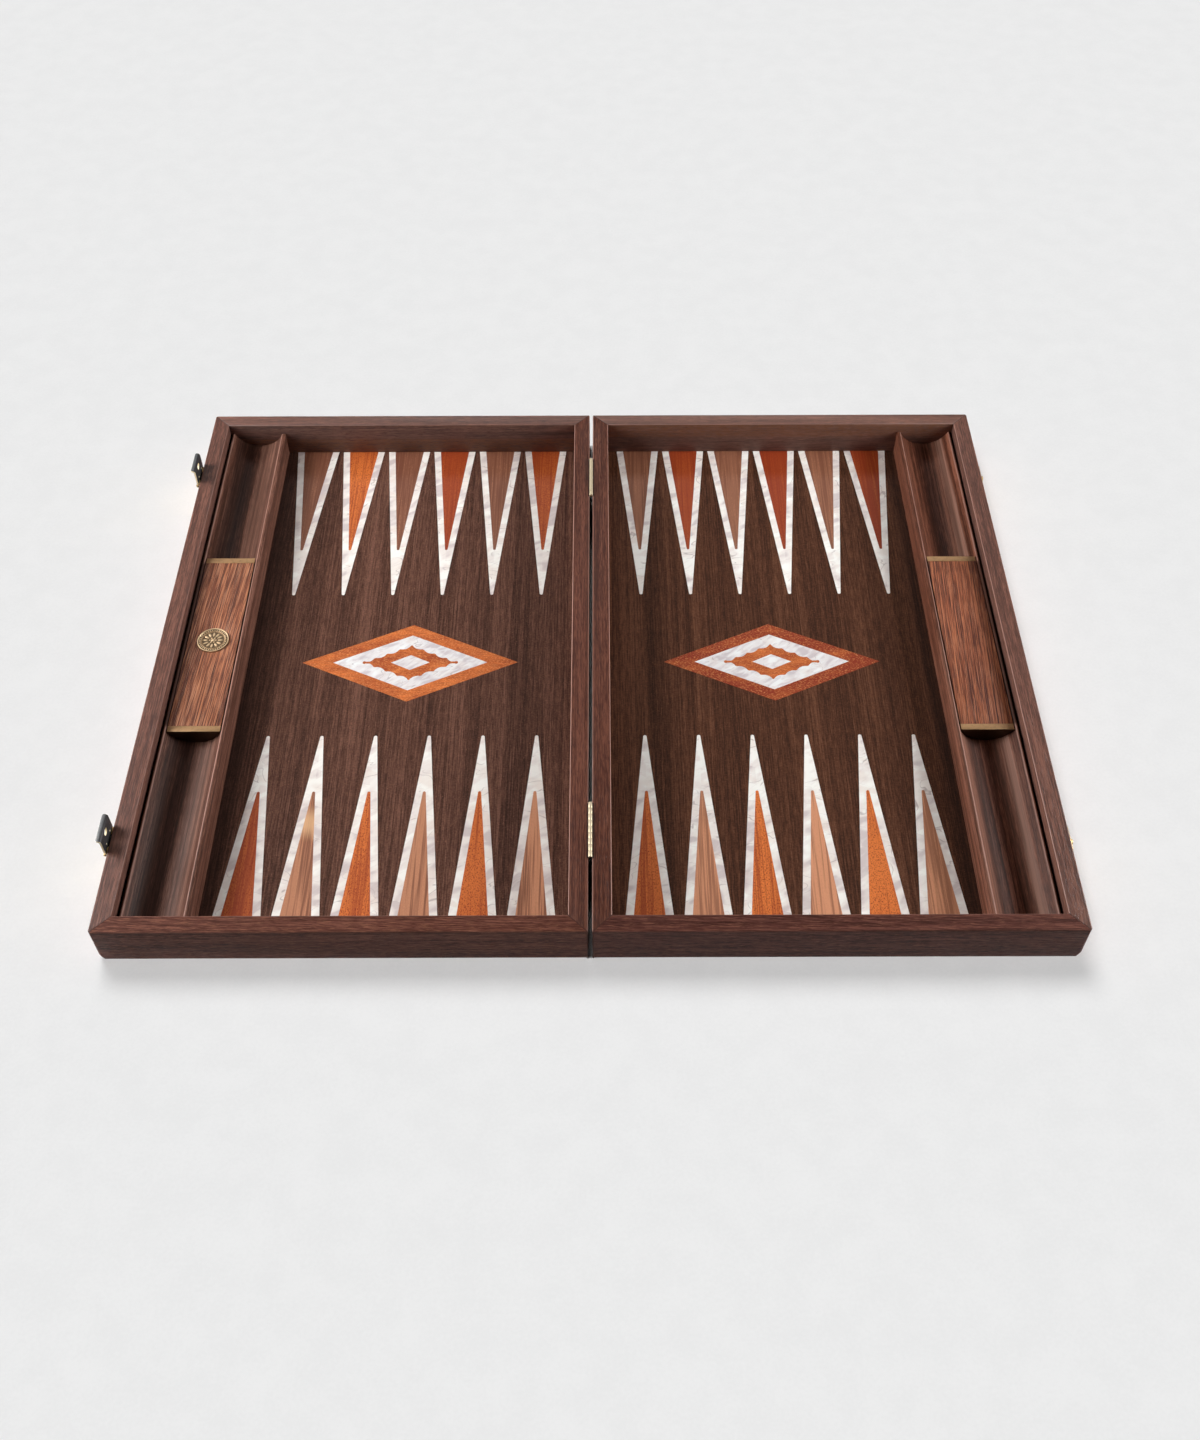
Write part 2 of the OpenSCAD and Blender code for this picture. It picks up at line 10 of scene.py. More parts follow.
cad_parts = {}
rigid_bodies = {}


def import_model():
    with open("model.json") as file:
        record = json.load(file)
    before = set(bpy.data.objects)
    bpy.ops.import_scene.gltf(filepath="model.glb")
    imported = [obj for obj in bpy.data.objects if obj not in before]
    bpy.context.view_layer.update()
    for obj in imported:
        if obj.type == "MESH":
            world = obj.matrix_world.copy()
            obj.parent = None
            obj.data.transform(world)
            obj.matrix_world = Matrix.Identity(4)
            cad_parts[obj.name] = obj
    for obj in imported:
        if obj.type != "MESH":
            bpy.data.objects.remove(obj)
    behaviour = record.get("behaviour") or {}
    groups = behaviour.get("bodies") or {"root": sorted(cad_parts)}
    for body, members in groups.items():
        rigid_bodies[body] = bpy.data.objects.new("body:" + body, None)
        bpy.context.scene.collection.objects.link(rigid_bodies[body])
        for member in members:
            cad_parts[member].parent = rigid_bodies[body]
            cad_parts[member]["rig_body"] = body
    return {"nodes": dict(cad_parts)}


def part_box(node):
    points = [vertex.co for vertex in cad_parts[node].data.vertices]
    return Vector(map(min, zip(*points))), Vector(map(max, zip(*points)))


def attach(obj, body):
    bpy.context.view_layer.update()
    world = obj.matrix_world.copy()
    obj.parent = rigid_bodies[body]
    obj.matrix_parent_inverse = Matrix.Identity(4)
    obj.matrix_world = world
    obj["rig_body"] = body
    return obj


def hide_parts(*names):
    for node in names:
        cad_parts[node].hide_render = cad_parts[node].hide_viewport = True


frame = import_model()

bl_info = {
    "name": "Folding backgammon board",
    "version": (1, 0, 0),
    "blender": (4, 5, 0),
    "location": "3D View > Sidebar > Board",
    "description": "Dresses the model of a folding backgammon board in wood, pearl and brass",
    "category": "Object",
}

MM = 0.001
SIDES = ("left", "right")
IMAGE_WIDTH = 1200
SENSOR_WIDTH = 36.0
SEED_STEPS = (3.71, 5.37, 7.13)  # how far one seed shifts a pattern along X, Y and Z
SKIN = 0.02 * MM  # what lies nearer to a face than this lies on it
WELD = 0.002 * MM  # points nearer to each other than this are one
TIP_SLOPES = (0.45, 0.7, 1.0, 1.4, 2.1)  # the slopes of the facets that round a lowest corner tip
RIM_PIECES = ("near_wall", "far_wall", "outer_wall", "clasp", "catch")
SOFT_LIGHTS = (  # name, place, width and height, in metres
    ("left light", (-1.1, 0.1, 0.45), 0.8, 0.5),
    ("right light", (1.1, 0.1, 0.33), 0.8, 0.36),
    ("high light", (-0.9, 0.0, 1.0), 0.8, 0.8),
    ("back light", (0.0, 1.75, 1.4), 1.8, 0.4),
)


def paint(red, green, blue):
    """A colour as a screen shows it, from 0 to 255, turned into Blender's linear values."""
    return tuple(((c / 255 + 0.055) / 1.055) ** 2.4 for c in (red, green, blue))


def colour(name, red, green, blue):
    return FloatVectorProperty(
        name=name, description=f"Colour of the {name.lower()}", subtype="COLOR",
        default=paint(red, green, blue), min=0, max=1,
    )


def amount(name, description, value, **limits):
    return FloatProperty(name=name, description=description, default=value, min=0, **limits)


def length(name, description, millimetres):
    return amount(name, description, millimetres * MM, unit="LENGTH", subtype="DISTANCE")


def angle(name, description, degrees):
    return FloatProperty(name=name, description=description, subtype="ANGLE", default=radians(degrees))


def whole_number(name, description, value, least):
    return IntProperty(name=name, description=description, default=value, min=least)


class BoardColours(PropertyGroup):
    """The colours of the board's woods, shell and metals."""

    wall_dark: colour("Walls' dark streaks", 64, 36, 28)
    wall_mid: colour("Walls' wood", 94, 57, 45)
    wall_light: colour("Walls' light streaks", 124, 81, 66)
    wall_fleck: colour("Walls' flecks", 162, 112, 86)
    # painted bounce light on the far walls' inner faces
    wall_warm: colour("Far walls' inner faces", 150, 104, 80)
    wall_figure: colour("Far walls' figured band", 124, 70, 26)
    # pale arris lines: partly wear, partly painted highlight
    wood_worn: colour("Worn arrises", 178, 136, 122)
    plain_wall: colour("Far and outer walls' cast", 255, 255, 255)
    left_near_wall: colour("Left near wall's cast", 250, 240, 242)
    right_near_wall: colour("Right near wall's cast", 232, 222, 232)
    hinge_wall: colour("Hinge walls' cast", 238, 222, 214)
    field_dark: colour("Field's dark streaks", 52, 32, 25)
    # painted shadow that the rack casts on the field
    field_deep: colour("Field beside the racks", 30, 20, 18)
    field_mid: colour("Field's wood", 88, 58, 46)
    field_light: colour("Field's light streaks", 121, 85, 71)
    left_field: colour("Left field's cast", 255, 250, 248)
    right_field: colour("Right field's cast", 234, 216, 190)
    rack_dark: colour("Racks' dark streaks", 58, 36, 27)
    rack_mid: colour("Racks' wood", 94, 60, 48)
    rack_light: colour("Racks' light streaks", 142, 98, 82)
    # painted shade in the troughs and on the lip beside the block
    rack_deep: colour("Racks' dark bands", 36, 22, 19)
    # painted light on the troughs' slopes
    rack_pale: colour("Racks' pale bands", 158, 118, 102)
    left_rack: colour("Left rack's cast", 255, 255, 255)
    right_rack: colour("Right rack's cast", 255, 233, 218)
    mahogany_dark: colour("Dark mahogany", 136, 46, 20)
    mahogany_light: colour("Light mahogany", 222, 122, 57)
    mahogany_speck: colour("Diamonds' light specks", 236, 162, 100)
    walnut_dark: colour("Walnut's dark lines", 112, 66, 49)
    walnut_mid: colour("Walnut", 178, 122, 98)
    walnut_light: colour("Walnut's light lines", 214, 149, 112)
    walnut_sap: colour("Walnut's sapwood", 230, 182, 136)
    block_dark: colour("Blocks' dark lines", 76, 40, 31)
    block_mid: colour("Blocks' wood", 128, 72, 49)
    block_light: colour("Blocks' light lines", 186, 122, 86)
    block_thread: colour("Blocks' pale threads", 214, 158, 124)
    left_block: colour("Left block's cast", 255, 252, 250)
    right_block: colour("Right block's cast", 243, 224, 214)
    shell_light: colour("Shell", 240, 232, 228)
    # partly the shell's own play of colour, partly painted sheen
    shell_bright: colour("Shell's bright facets", 252, 250, 246)
    shell_grey: colour("Shell's grey facets", 208, 194, 194)
    shell_warm: colour("Shell's warm clouds", 230, 212, 202)
    shell_vein: colour("Shell's veins and joints", 162, 144, 144)
    left_shell: colour("Left points' shell's cast", 250, 248, 245)
    right_shell: colour("Right points' shell's cast", 255, 255, 253)
    diamond_shell: colour("Diamonds' shell's cast", 243, 246, 250)
    brass: colour("Brass", 214, 184, 128)
    brass_pale: colour("Pale brass of the hinges", 214, 198, 168)
    brass_old: colour("Old brass of the blocks", 182, 142, 100)
    brass_ground: colour("Medallion's ground", 170, 136, 98)
    brass_worn: colour("Medallion's worn relief", 230, 200, 160)
    patina: colour("Patina", 46, 38, 28)
    dark_metal: colour("Dark metal of the clasps", 66, 64, 66)
    # painted light on the clasps' upper side
    lip_metal: colour("Upper side of the clasps", 106, 107, 108)
    gold_edge: colour("Clasps' edges and rivets", 255, 238, 196)
    floor: colour("Floor", 238, 238, 238)
    floor_shade: colour("Floor's mottle", 196, 197, 198)
    backdrop: colour("Backdrop", 255, 255, 255)


class BoardSizes(PropertyGroup):
    """The sizes of the finishing touches."""

    wood_edge: length("Wood's arris", "Softening of the wood's sharp edges", 0.15)
    rim_round: length("Rim's round", "Radius of the rim's outer corners and of its foot", 2.2)
    tip_round: length("Tips' round", "Radius of the rim's four lowest corner tips", 4)
    rack_edge: length("Rack's arris", "Softening of the rack's long edges", 0.6)
    ridge_arris: length("Ridge's edge", "Distance of the ridge's edge over the trough from the middle", 246.9)
    lip_arris: length("Lip's edge", "Distance of the lip's edge over the trough from the middle", 284.9)
    block_edge: length("Block's arris", "Softening of the divider blocks' edges", 0.35)
    metal_edge: length("Metal's arris", "Softening of the fittings' edges", 0.12)
    rivet_area: amount("Rivet", "Largest area of a face on a rivet", 1.2 * MM * MM, unit="AREA")
    # the pale arris line is partly wear and partly painted highlight
    arris_line_width: length("Worn arris", "Width of the pale line on a worn arris", 0.7)
    glue_line: length("Glue line", "Width of the line that shows at a mitre", 0.3)
    point_gap: length("Gap between points", "Space between two points at their bases", 3.45)
    point_count: whole_number("Points", "Points in a row, on one half", 6, 1)
    shell_piece: length("Shell piece", "Mean length of a piece of shell in a point's border", 15)


class MedallionSizes(PropertyGroup):
    """The sizes of the relief on the medallion."""

    rim_width: length("Rim", "Width of the plain rim", 0.7)
    face_drop: length("Face", "Depth of the face below the rim", 0.6)
    bead_radius: length("Bead", "Radius of a bead in the ring", 0.48)
    bead_inset: length("Bead ring", "Distance of the bead ring from the medallion's edge", 1.75)
    bead_count: whole_number("Beads", "Beads in the ring", 36, 8)
    petal_count: whole_number("Petals", "Petals of the rosette", 12, 4)
    petal_length: length("Petal", "Length of a petal", 4.2)
    petal_width: length("Petal width", "Width of a petal", 1.9)
    petal_start: length("Petal's start", "Distance of a petal's inner end from the middle", 3.1)
    leaf_count: whole_number("Leaves", "Small leaves round the boss", 6, 3)
    boss_radius: length("Boss", "Radius of the rosette's round middle", 1.3)
    petal_rise: length("Petal's rise", "Height of a petal above the face", 0.42)
    leaf_rise: length("Leaf's rise", "Height of a small leaf above the face", 0.34)
    boss_rise: length("Boss's rise", "Height of the round middle above the face", 0.52)


class StageSettings(PropertyGroup):
    """The camera and the light."""

    focal_pixels: amount("Focal length", "In pixels of the picture", 1495.8)
    camera_x: length("Camera X", "Place of the camera to the right of the board's middle", 6.31)
    camera_back: length("Camera distance", "Distance of the camera in front of the board's middle", 709.66)
    camera_height: length("Camera height", "Height of the camera above the floor", 799.82)
    pitch: angle("Pitch", "How far the camera looks down", 50.49)
    roll: angle("Roll", "The camera's roll", -0.16)
    left_power: amount("Left light", "Power of the soft light on the left", 23)
    right_power: amount("Right light", "Power of the soft light on the right", 20)
    high_power: amount("High light", "Power of the small light above", 2.2)
    back_power: amount("Back light", "Power of the long light behind", 7.4)
    floor_strength: amount("Floor light", "Strength of the light on the floor", 4.09)
    floor_shade: amount("Shadow", "Share of the floor's light that the board keeps off", 0.326, max=1)
    floor_softness: angle("Shadow softness", "Apparent size of the light that casts the board's shadow", 28)
    backdrop_strength: amount("Backdrop", "Brightness of the backdrop", 0.84)


def maths(operation, swapped=False):
    """A method of Flow that adds one Math node. swapped puts the flow's own value last."""

    def method(flow, *others):
        values = (*others, flow) if swapped else (flow, *others)
        return flow.finish.node("Math", {"operation": operation}, dict(enumerate(values)))

    return method


class Flow:
    """A value that flows through a material's nodes. Python's operators on it add Math nodes."""

    __add__ = __radd__ = maths("ADD")
    __sub__, __rsub__ = maths("SUBTRACT"), maths("SUBTRACT", swapped=True)
    __mul__ = __rmul__ = maths("MULTIPLY")
    __truediv__ = maths("DIVIDE")
    __lt__, __gt__ = maths("LESS_THAN"), maths("GREATER_THAN")
    __abs__, floor, sign, root = maths("ABSOLUTE"), maths("FLOOR"), maths("SIGN"), maths("SQRT")
    highest = maths("MAXIMUM")

    def __init__(self, finish, socket):
        self.finish, self.socket = finish, socket

    def output(self, name):
        """Another output of the same node."""
        return Flow(self.finish, self.socket.node.outputs[name])

    def between(self, low, high):
        """0 at low, 1 at high and smooth in between."""
        ends = {"Value": self, "From Min": low, "From Max": high}
        return self.finish.node("MapRange", {"interpolation_type": "SMOOTHSTEP"}, ends)


def tint(name):
    """One of the board's colours."""
    return (*getattr(bpy.context.scene.board_colours, name), 1)


def board_sizes():
    return bpy.context.scene.board_sizes


class Finish:
    """A material and the nodes that it is made of. Colours are given by their names in BoardColours."""

    def __init__(self, name, preview):
        self.material = bpy.data.materials.new(name)
        self.material.use_nodes = True
        self.material.diffuse_color = tint(preview)
        self.tree = self.material.node_tree
        self.tree.nodes.clear()
        self.place = self.node("TexCoord", output="Object")
        self.x = self.node("SeparateXYZ", inputs={0: self.place})
        self.y, self.z = self.x.output("Y"), self.x.output("Z")

    def node(self, kind, settings=None, inputs=None, output=0):
        """Adds a shader node, sets it up and gives the value of one output."""
        node = self.tree.nodes.new("ShaderNode" + kind)
        for key, value in (settings or {}).items():
            if key in ("stops", "steps"):
                self.set_stops(node.color_ramp, value, "LINEAR" if key == "stops" else "CONSTANT")
            else:
                setattr(node, key, value)
        for key, value in (inputs or {}).items():
            socket = node.inputs[key]
            if isinstance(value, Flow):
                self.tree.links.new(value.socket, socket)
            elif isinstance(value, str):
                socket.default_value = tint(value)
            else:
                socket.default_value = value
        return Flow(self, node.outputs[output])

    def set_stops(self, ramp, stops, interpolation):
        ramp.interpolation = interpolation
        while len(ramp.elements) < len(stops):
            ramp.elements.new(1)
        for element, (place, shade) in zip(ramp.elements, stops):
            element.position = place
            element.color = tint(shade) if isinstance(shade, str) else (shade, shade, shade, 1)

    def mix(self, factor, first, second, blend="MIX"):
        """Colours mixed by a factor."""
        kind = {"data_type": "RGBA", "blend_type": blend}
        return self.node("Mix", kind, {0: factor, 6: first, 7: second}, output=2)

    def coats(self, shade, *coats):
        """A shade with coats of colour over it, each with its strength."""
        for strength, coat in coats:
            shade = self.mix(strength, shade, coat)
        return shade

    def ramp(self, value, wood):
        """The dark, mid and light colours of a wood, blended."""
        stops = [(0.0, f"{wood}_dark"), (0.5, f"{wood}_mid"), (1.0, f"{wood}_light")]
        return self.node("ValToRGB", {"stops": stops}, {0: value})

    def noise(self, vector, size, detail=2.0, roughness=0.5, distortion=0.0):
        """Noise with patches of about this size, in millimetres."""
        return self.node("TexNoise", None, {
            "Vector": vector, "Scale": 1 / (size * MM), "Detail": detail, "Roughness": roughness,
            "Distortion": distortion,
        })

    def grain(self, axis, seed, across, along, detail=2.0, roughness=0.6, turn=0.0, distortion=0.0):
        """Noise drawn out along an axis. The sizes of its streaks are in millimetres."""
        scale = [1 / (across * MM)] * 3
        scale["XYZ".index(axis)] = 1 / (along * MM)
        place = self.place
        if turn:
            place = self.node("Mapping", None, {"Vector": place, "Rotation": (0, 0, turn)})
        shift = [seed * step for step in SEED_STEPS]
        mapped = self.node("Mapping", None, {"Vector": place, "Scale": scale, "Location": shift})
        return self.noise(mapped, 1 / MM, detail, roughness, distortion)

    def grains(self, axis, seed, *streaks, turn=0.0):
        """Several grains along an axis, each from its streaks' width, their length and its detail."""
        return [self.grain(axis, seed + number, *sizes, turn=turn) for number, sizes in enumerate(streaks)]

    def surface(self, shade, roughness, height=0.0, depth=0.0, metal=0.0, specular=0.5):
        """The finished surface. Its relief follows height, whose full range is depth millimetres."""
        inputs = {
            "Base Color": shade, "Roughness": roughness, "Metallic": metal, "Specular IOR Level": specular,
        }
        if depth:
            relief = {"Height": height, "Distance": depth * MM, "Strength": 1.0}
            inputs["Normal"] = self.node("Bump", None, relief)
        self.finish(self.node("BsdfPrincipled", None, inputs))
        return self.material

    def finish(self, shader):
        out = self.tree.nodes.new("ShaderNodeOutputMaterial")
        self.tree.links.new(shader.socket, out.inputs["Surface"])


class WallPlace:
    """Where a place lies in one wall: from its two long faces, its top and its mitre planes."""

    def __init__(self, f, node, axis):
        low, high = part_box(node)
        run = "xy".index(axis)
        side = 1 - run
        middle, half = (low[run] + high[run]) / 2, (high[run] - low[run]) / 2
        edges = sorted((low[side], high[side]), key=abs, reverse=not node.endswith("hinge_wall"))
        along, depth = (f.x, f.y) if axis == "x" else (f.y, f.x)
        self.from_outside, self.from_inside = (abs(depth - edge) for edge in edges)
        self.from_mitre = half - self.from_outside - abs(along - middle)
        self.from_top = high.z - f.z

    def arris(self, from_face, wander):
        """1 on the top arris of a long face. wander makes its width uneven."""
        width = board_sizes().arris_line_width
        return (from_face.highest(self.from_top) + wander * width).between(width, width * 0.3)


class WallLook(NamedTuple):
    """How one of the walls differs from the others. A tuple holds the left and the right wall's value."""

    axis: str
    flecks: float
    turn: float  # how far the grain leans
    gloss: float
    casts: tuple
    # pale lines on the inner and outer top arrises: partly wear, partly painted highlight
    wear_and_highlight_inside: tuple
    wear_and_highlight_outside: float
    brow_shade: float = 0.0  # painted shade below the outer arris
    foot: float = 0.0  # painted shade at the inner face's foot
    warm: tuple = (0.0, 0.0)  # light that the fields throw on the inner face
    figure: tuple = ()  # how far below the top a figured band starts and is full, in mm


WALL_LOOKS = {
    "near_wall": WallLook(
        "x", 0.5, radians(2), 0.12, ("left_near_wall", "right_near_wall"), (0.3, 0.25), 0.15, brow_shade=0.3,
    ),
    "far_wall": WallLook(
        "x", 0.35, 0.0, 1.0, ("plain_wall",) * 2, (0.15, 0.35), 0.12, foot=0.3, warm=(0.03, 0.22),
        figure=((13, 15), (14, 11)),
    ),
    "outer_wall": WallLook("y", 0.15, 0.0, 0.45, ("plain_wall",) * 2, (0.35, 0.75), 0.2),
    "hinge_wall": WallLook("y", 0.15, 0.0, 0.22, ("hinge_wall",) * 2, (0.85, 0.85), 0.6),
}


def wall_wood(node, look, seed, half):
    """Dark brown wall wood: arrises pale with wear and painted highlight, a glue line at the mitres. half is
    0 or 1.
    """
    f = Finish(f"{node.replace('_', ' ')} wood", "wall_mid")
    wall = WallPlace(f, node, look.axis)
    axis = look.axis.upper()
    band = f.grain(axis, seed, 4.5, 240)
    streak, fibre = f.grains(axis, seed + 1, (0.9, 44, 4), (0.45, 9, 3), turn=look.turn)
    fleck = f.grain(axis, seed + 3, 0.42, 9, turn=look.turn * 1.6).between(0.56, 0.66)
    pore = f.grain(axis, seed + 4, 0.4, 5, detail=1).between(0.42, 0.3)
    tone = (band * 0.28 + streak * 0.42 + fibre * 0.48 - 0.09).between(0.37, 0.63)
    inside = wall.from_inside < SKIN
    shade = f.ramp(tone, "wall")
    shade = f.coats(shade, (fleck * look.flecks, "wall_fleck"), (pore * 0.65, "wall_dark"))
    # Painted light: the fields' bounce light, added on the inner face and, less, on the top.
    shade = f.mix((inside + (wall.from_top < SKIN) * 0.4) * look.warm[half], shade, "wall_warm", "ADD")
    # Painted shade towards the inner face's foot.
    shade = f.mix(inside * wall.from_top.between(6 * MM, 22 * MM) * look.foot, shade, "wall_dark")
    shade = f.mix(1.0, shade, look.casts[half], "MULTIPLY")
    if look.figure:
        start, full = look.figure[half]
        figured = inside * wall.from_top.between(start * MM, full * MM)
        line = f.grain(axis, seed + 6, 0.5, 6, turn=radians(2))
        shade = f.mix(figured * (line.between(0.42, 0.58) * 0.6 + 0.15), shade, "wall_figure")
    # Painted shade on the outer face just below the top arris.
    brow_shade = (wall.from_outside < SKIN) * wall.from_top.between(5 * MM, 0.2 * MM)
    wander = (fibre - 0.5) * 0.8 + (band - 0.5) * 1.2
    glue = wall.from_mitre.between(board_sizes().glue_line / 2, 0.0)
    shade = f.coats(
        shade,
        (brow_shade * look.brow_shade, "wall_dark"),
        # Pale lines on the top arrises: partly wear, partly painted highlight.
        (wall.arris(wall.from_inside, wander) * look.wear_and_highlight_inside[half], "wood_worn"),
        (wall.arris(wall.from_outside, wander) * look.wear_and_highlight_outside, "wood_worn"),
        (glue * 0.75, "wall_dark"),
    )
    roughness = 0.4 + pore * 0.2 + fibre * 0.12 + inside * 0.35
    height = streak * 0.4 + fibre * 0.5 - pore * 0.8 - glue
    return f.surface(shade, roughness, height, 0.06, specular=look.gloss)


def field_wood(side, seed):
    """The field's dark veneer, with its grain along Y and a painted shadow beside the rack."""
    rack = max(abs(corner.x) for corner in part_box(f"{side}_field_veneer"))
    f = Finish(f"{side} field veneer", "field_mid")
    band, streak, fibre = f.grains("Y", seed, (9, 900), (1.0, 120, 4), (0.5, 12, 4))
    speck, pore = f.grains("Y", seed + 3, (0.5, 1.8, 1), (0.5, 12, 1))
    pore = pore.between(0.42, 0.3)
    ripple = f.grain("X", seed + 5, 0.55, 1.5)
    tone = (band * 0.26 + streak * 0.46 + fibre * 0.5 - 0.11).between(0.35, 0.66)
    shade = f.coats(
        f.ramp(tone, "field"),
        (ripple.between(0.52, 0.4) * 0.34, "field_dark"),
        (ripple.between(0.5, 0.62) * 0.2, "field_light"),
        (speck.between(0.64, 0.75) * 0.3, "walnut_mid"),
        (pore * 0.6, "field_dark"),
    )
    shade = f.mix(1.0, shade, f"{side}_field", "MULTIPLY")
    # Painted shadow of the rack on the field beside it.
    shade = f.mix((rack - abs(f.x)).between(13 * MM, 3 * MM) * 0.55, shade, "field_deep")
    return f.surface(shade, 0.52 + fibre * 0.12, fibre * 0.5 - pore, 0.03, specular=0.12)


class Band(NamedTuple):
    """A band along a rack: painted shade when dark, painted light when pale. part is 1 for its far part, -1
    for its near one and 0 for both.
    """

    middle: float
    half_width: float
    strength: float
    colour: str
    part: int = 0


# Painted light and shade: the pale bands lie where the troughs' slopes face the lamps, the dark ones where
# they face away.
RACK_BANDS = {
    "left": (
        Band(275, 7.6, 0.58, "deep"), Band(257, 7, 0.28, "pale"), Band(250, 3.5, 0.3, "deep", 1),
    ),
    "right": (
        Band(278.2, 2.3, 0.75, "pale"), Band(249, 4, 0.3, "pale", -1), Band(249, 3.5, 0.25, "deep", 1),
        Band(256, 3, 0.3, "deep", -1), Band(263.5, 4.5, 0.35, "deep", 1),
        Band(273.5, 3.5, 0.16, "pale"), Band(284, 2.2, 0.42, "deep", -1),
    ),
}


def rack_wood(side, seed, arrises, block):
    """The racks' wood, with streaks along Y and bands of painted shade and painted light along the troughs.

    arrises are the edges with pale lines, partly wear and partly painted highlight: their distance from
    the middle and how much of the line is missing beside the block. block holds the block's near and far
    ends.
    """
    f = Finish(f"{side} rack wood", "rack_mid")
    grain, streak, fibre = f.grains("Y", seed, (3.5, 500), (1.2, 90, 3), (0.5, 10, 3))
    pore = f.grain("Y", seed + 4, 0.35, 5, detail=1).between(0.4, 0.3)
    tone = (grain * 0.35 + streak * 0.4 + fibre * 0.35 - 0.05).between(0.34, 0.66)
    shade = f.mix(pore * 0.6, f.ramp(tone, "rack"), "rack_dark")
    shade = f.mix(1.0, shade, f"{side}_rack", "MULTIPLY")
    uneven = grain.between(0.3, 0.62) * 0.9 + 0.45
    # Painted shade and painted light in bands along the trough.
    for band in RACK_BANDS[side]:
        edge = abs(abs(f.x) - band.middle * MM + (streak - 0.5) * 5 * MM)
        there = edge.between(band.half_width * 1.5 * MM, band.half_width * 0.5 * MM) * uneven
        if band.part:
            there = there * (f.y * band.part).between(-20 * MM, 20 * MM)
        shade = f.mix(there * band.strength, shade, f"rack_{band.colour}")
    start, end = block
    beside = f.y.between(start - 2 * MM, start + 2 * MM) * f.y.between(end + 2 * MM, end - 2 * MM)
    # Pale lines on the arrises: partly wear, partly painted highlight; beside the block they are mostly left
    # out, as it lies in shade there.
    for arris, kept in arrises:
        worn = (abs(abs(f.x) - arris) + (fibre - 0.5) * 1.2 * MM).between(0.65 * MM, 0.05 * MM)
        shade = f.mix(worn * (1 - beside * kept) * 0.6, shade, "wood_worn")
    # Painted shadow on the lip beside the block.
    lip = (abs(f.x) - arrises[-1][0]).between(-1.5 * MM, -0.5 * MM)
    shade = f.mix(beside * lip * 0.55, shade, "rack_deep")
    return f.surface(shade, 0.42 + fibre * 0.15, fibre * 0.6 - pore * 0.8, 0.04, specular=0.14)


def block_wood(side, seed):
    """The divider blocks' wood: fine light and dark lines that lean a little off Y."""
    f = Finish(f"{side} block wood", "block_mid")
    band, streak, line, dash, thread = f.grains(
        "Y", seed, (7, 90), (0.6, 110), (0.42, 26), (0.38, 12, 1), (0.32, 30, 1), turn=radians(3),
    )
    tone = (band * 0.16 + streak * 0.54 + line * 0.52 - 0.11).between(0.38, 0.62)
    dash, thread = dash.between(0.43, 0.35), thread.between(0.57, 0.65)
    shade = f.coats(f.ramp(tone, "block"), (dash * 0.75, "block_dark"), (thread * 0.6, "block_thread"))
    shade = f.mix(1.0, shade, f"{side}_block", "MULTIPLY")
    return f.surface(shade, 0.45 + line * 0.15, line * 0.6 - dash, 0.06, specular=0.35)


def plain_wood(name, seed, wood, axis):
    """Veneer and plywood that stay out of sight for the most part."""
    f = Finish(name, f"{wood}_mid")
    streak, fibre = f.grains(axis, seed, (2.5, 160, 4), (0.5, 14, 3))
    tone = (streak * 0.6 + fibre * 0.4).between(0.32, 0.68)
    return f.surface(f.ramp(tone, wood), 0.5 + fibre * 0.15, fibre, 0.03)


class PointRows:
    """Where a place lies in one half's rows of points."""

    def __init__(self, f, side):
        sizes = board_sizes()
        low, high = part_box(f"{side}_point_pearl")
        base = (high.x - low.x - (sizes.point_count - 1) * sizes.point_gap) / sizes.point_count
        across = (f.x - low.x) / (base + sizes.point_gap)
        self.number = across.floor()
        self.off_middle = (across - self.number) * (base + sizes.point_gap) - base / 2
        self.climb = high.y - abs(f.y)
        self.row = f.y > 0
        self.step = (self.number + 0.5) / sizes.point_count


class Sapwood(NamedTuple):
    """A pale spot in one core of the near row: the core's number and the spot's ends, in mm from the base."""

    core: int
    start: float
    end: float


SAPWOOD = {("left", "walnut"): Sapwood(1, 78, 104)}
CORE_TONES = {  # each column's tone, from left to right: 0 is dark and 1 is light
    ("left", "mahogany"): (0.35, 0.85, 0.8, 0.18, 0.72, 0.45),
    ("right", "mahogany"): (0.76, 0.18, 1.0, 0.1, 1.0, 0.2),
    ("left", "walnut"): (0.12, 0.64, 0.12, 0.66, 0.14, 0.84),
    ("right", "walnut"): (0.32, 0.93, 0.24, 0.98, 0.26, 0.95),
}


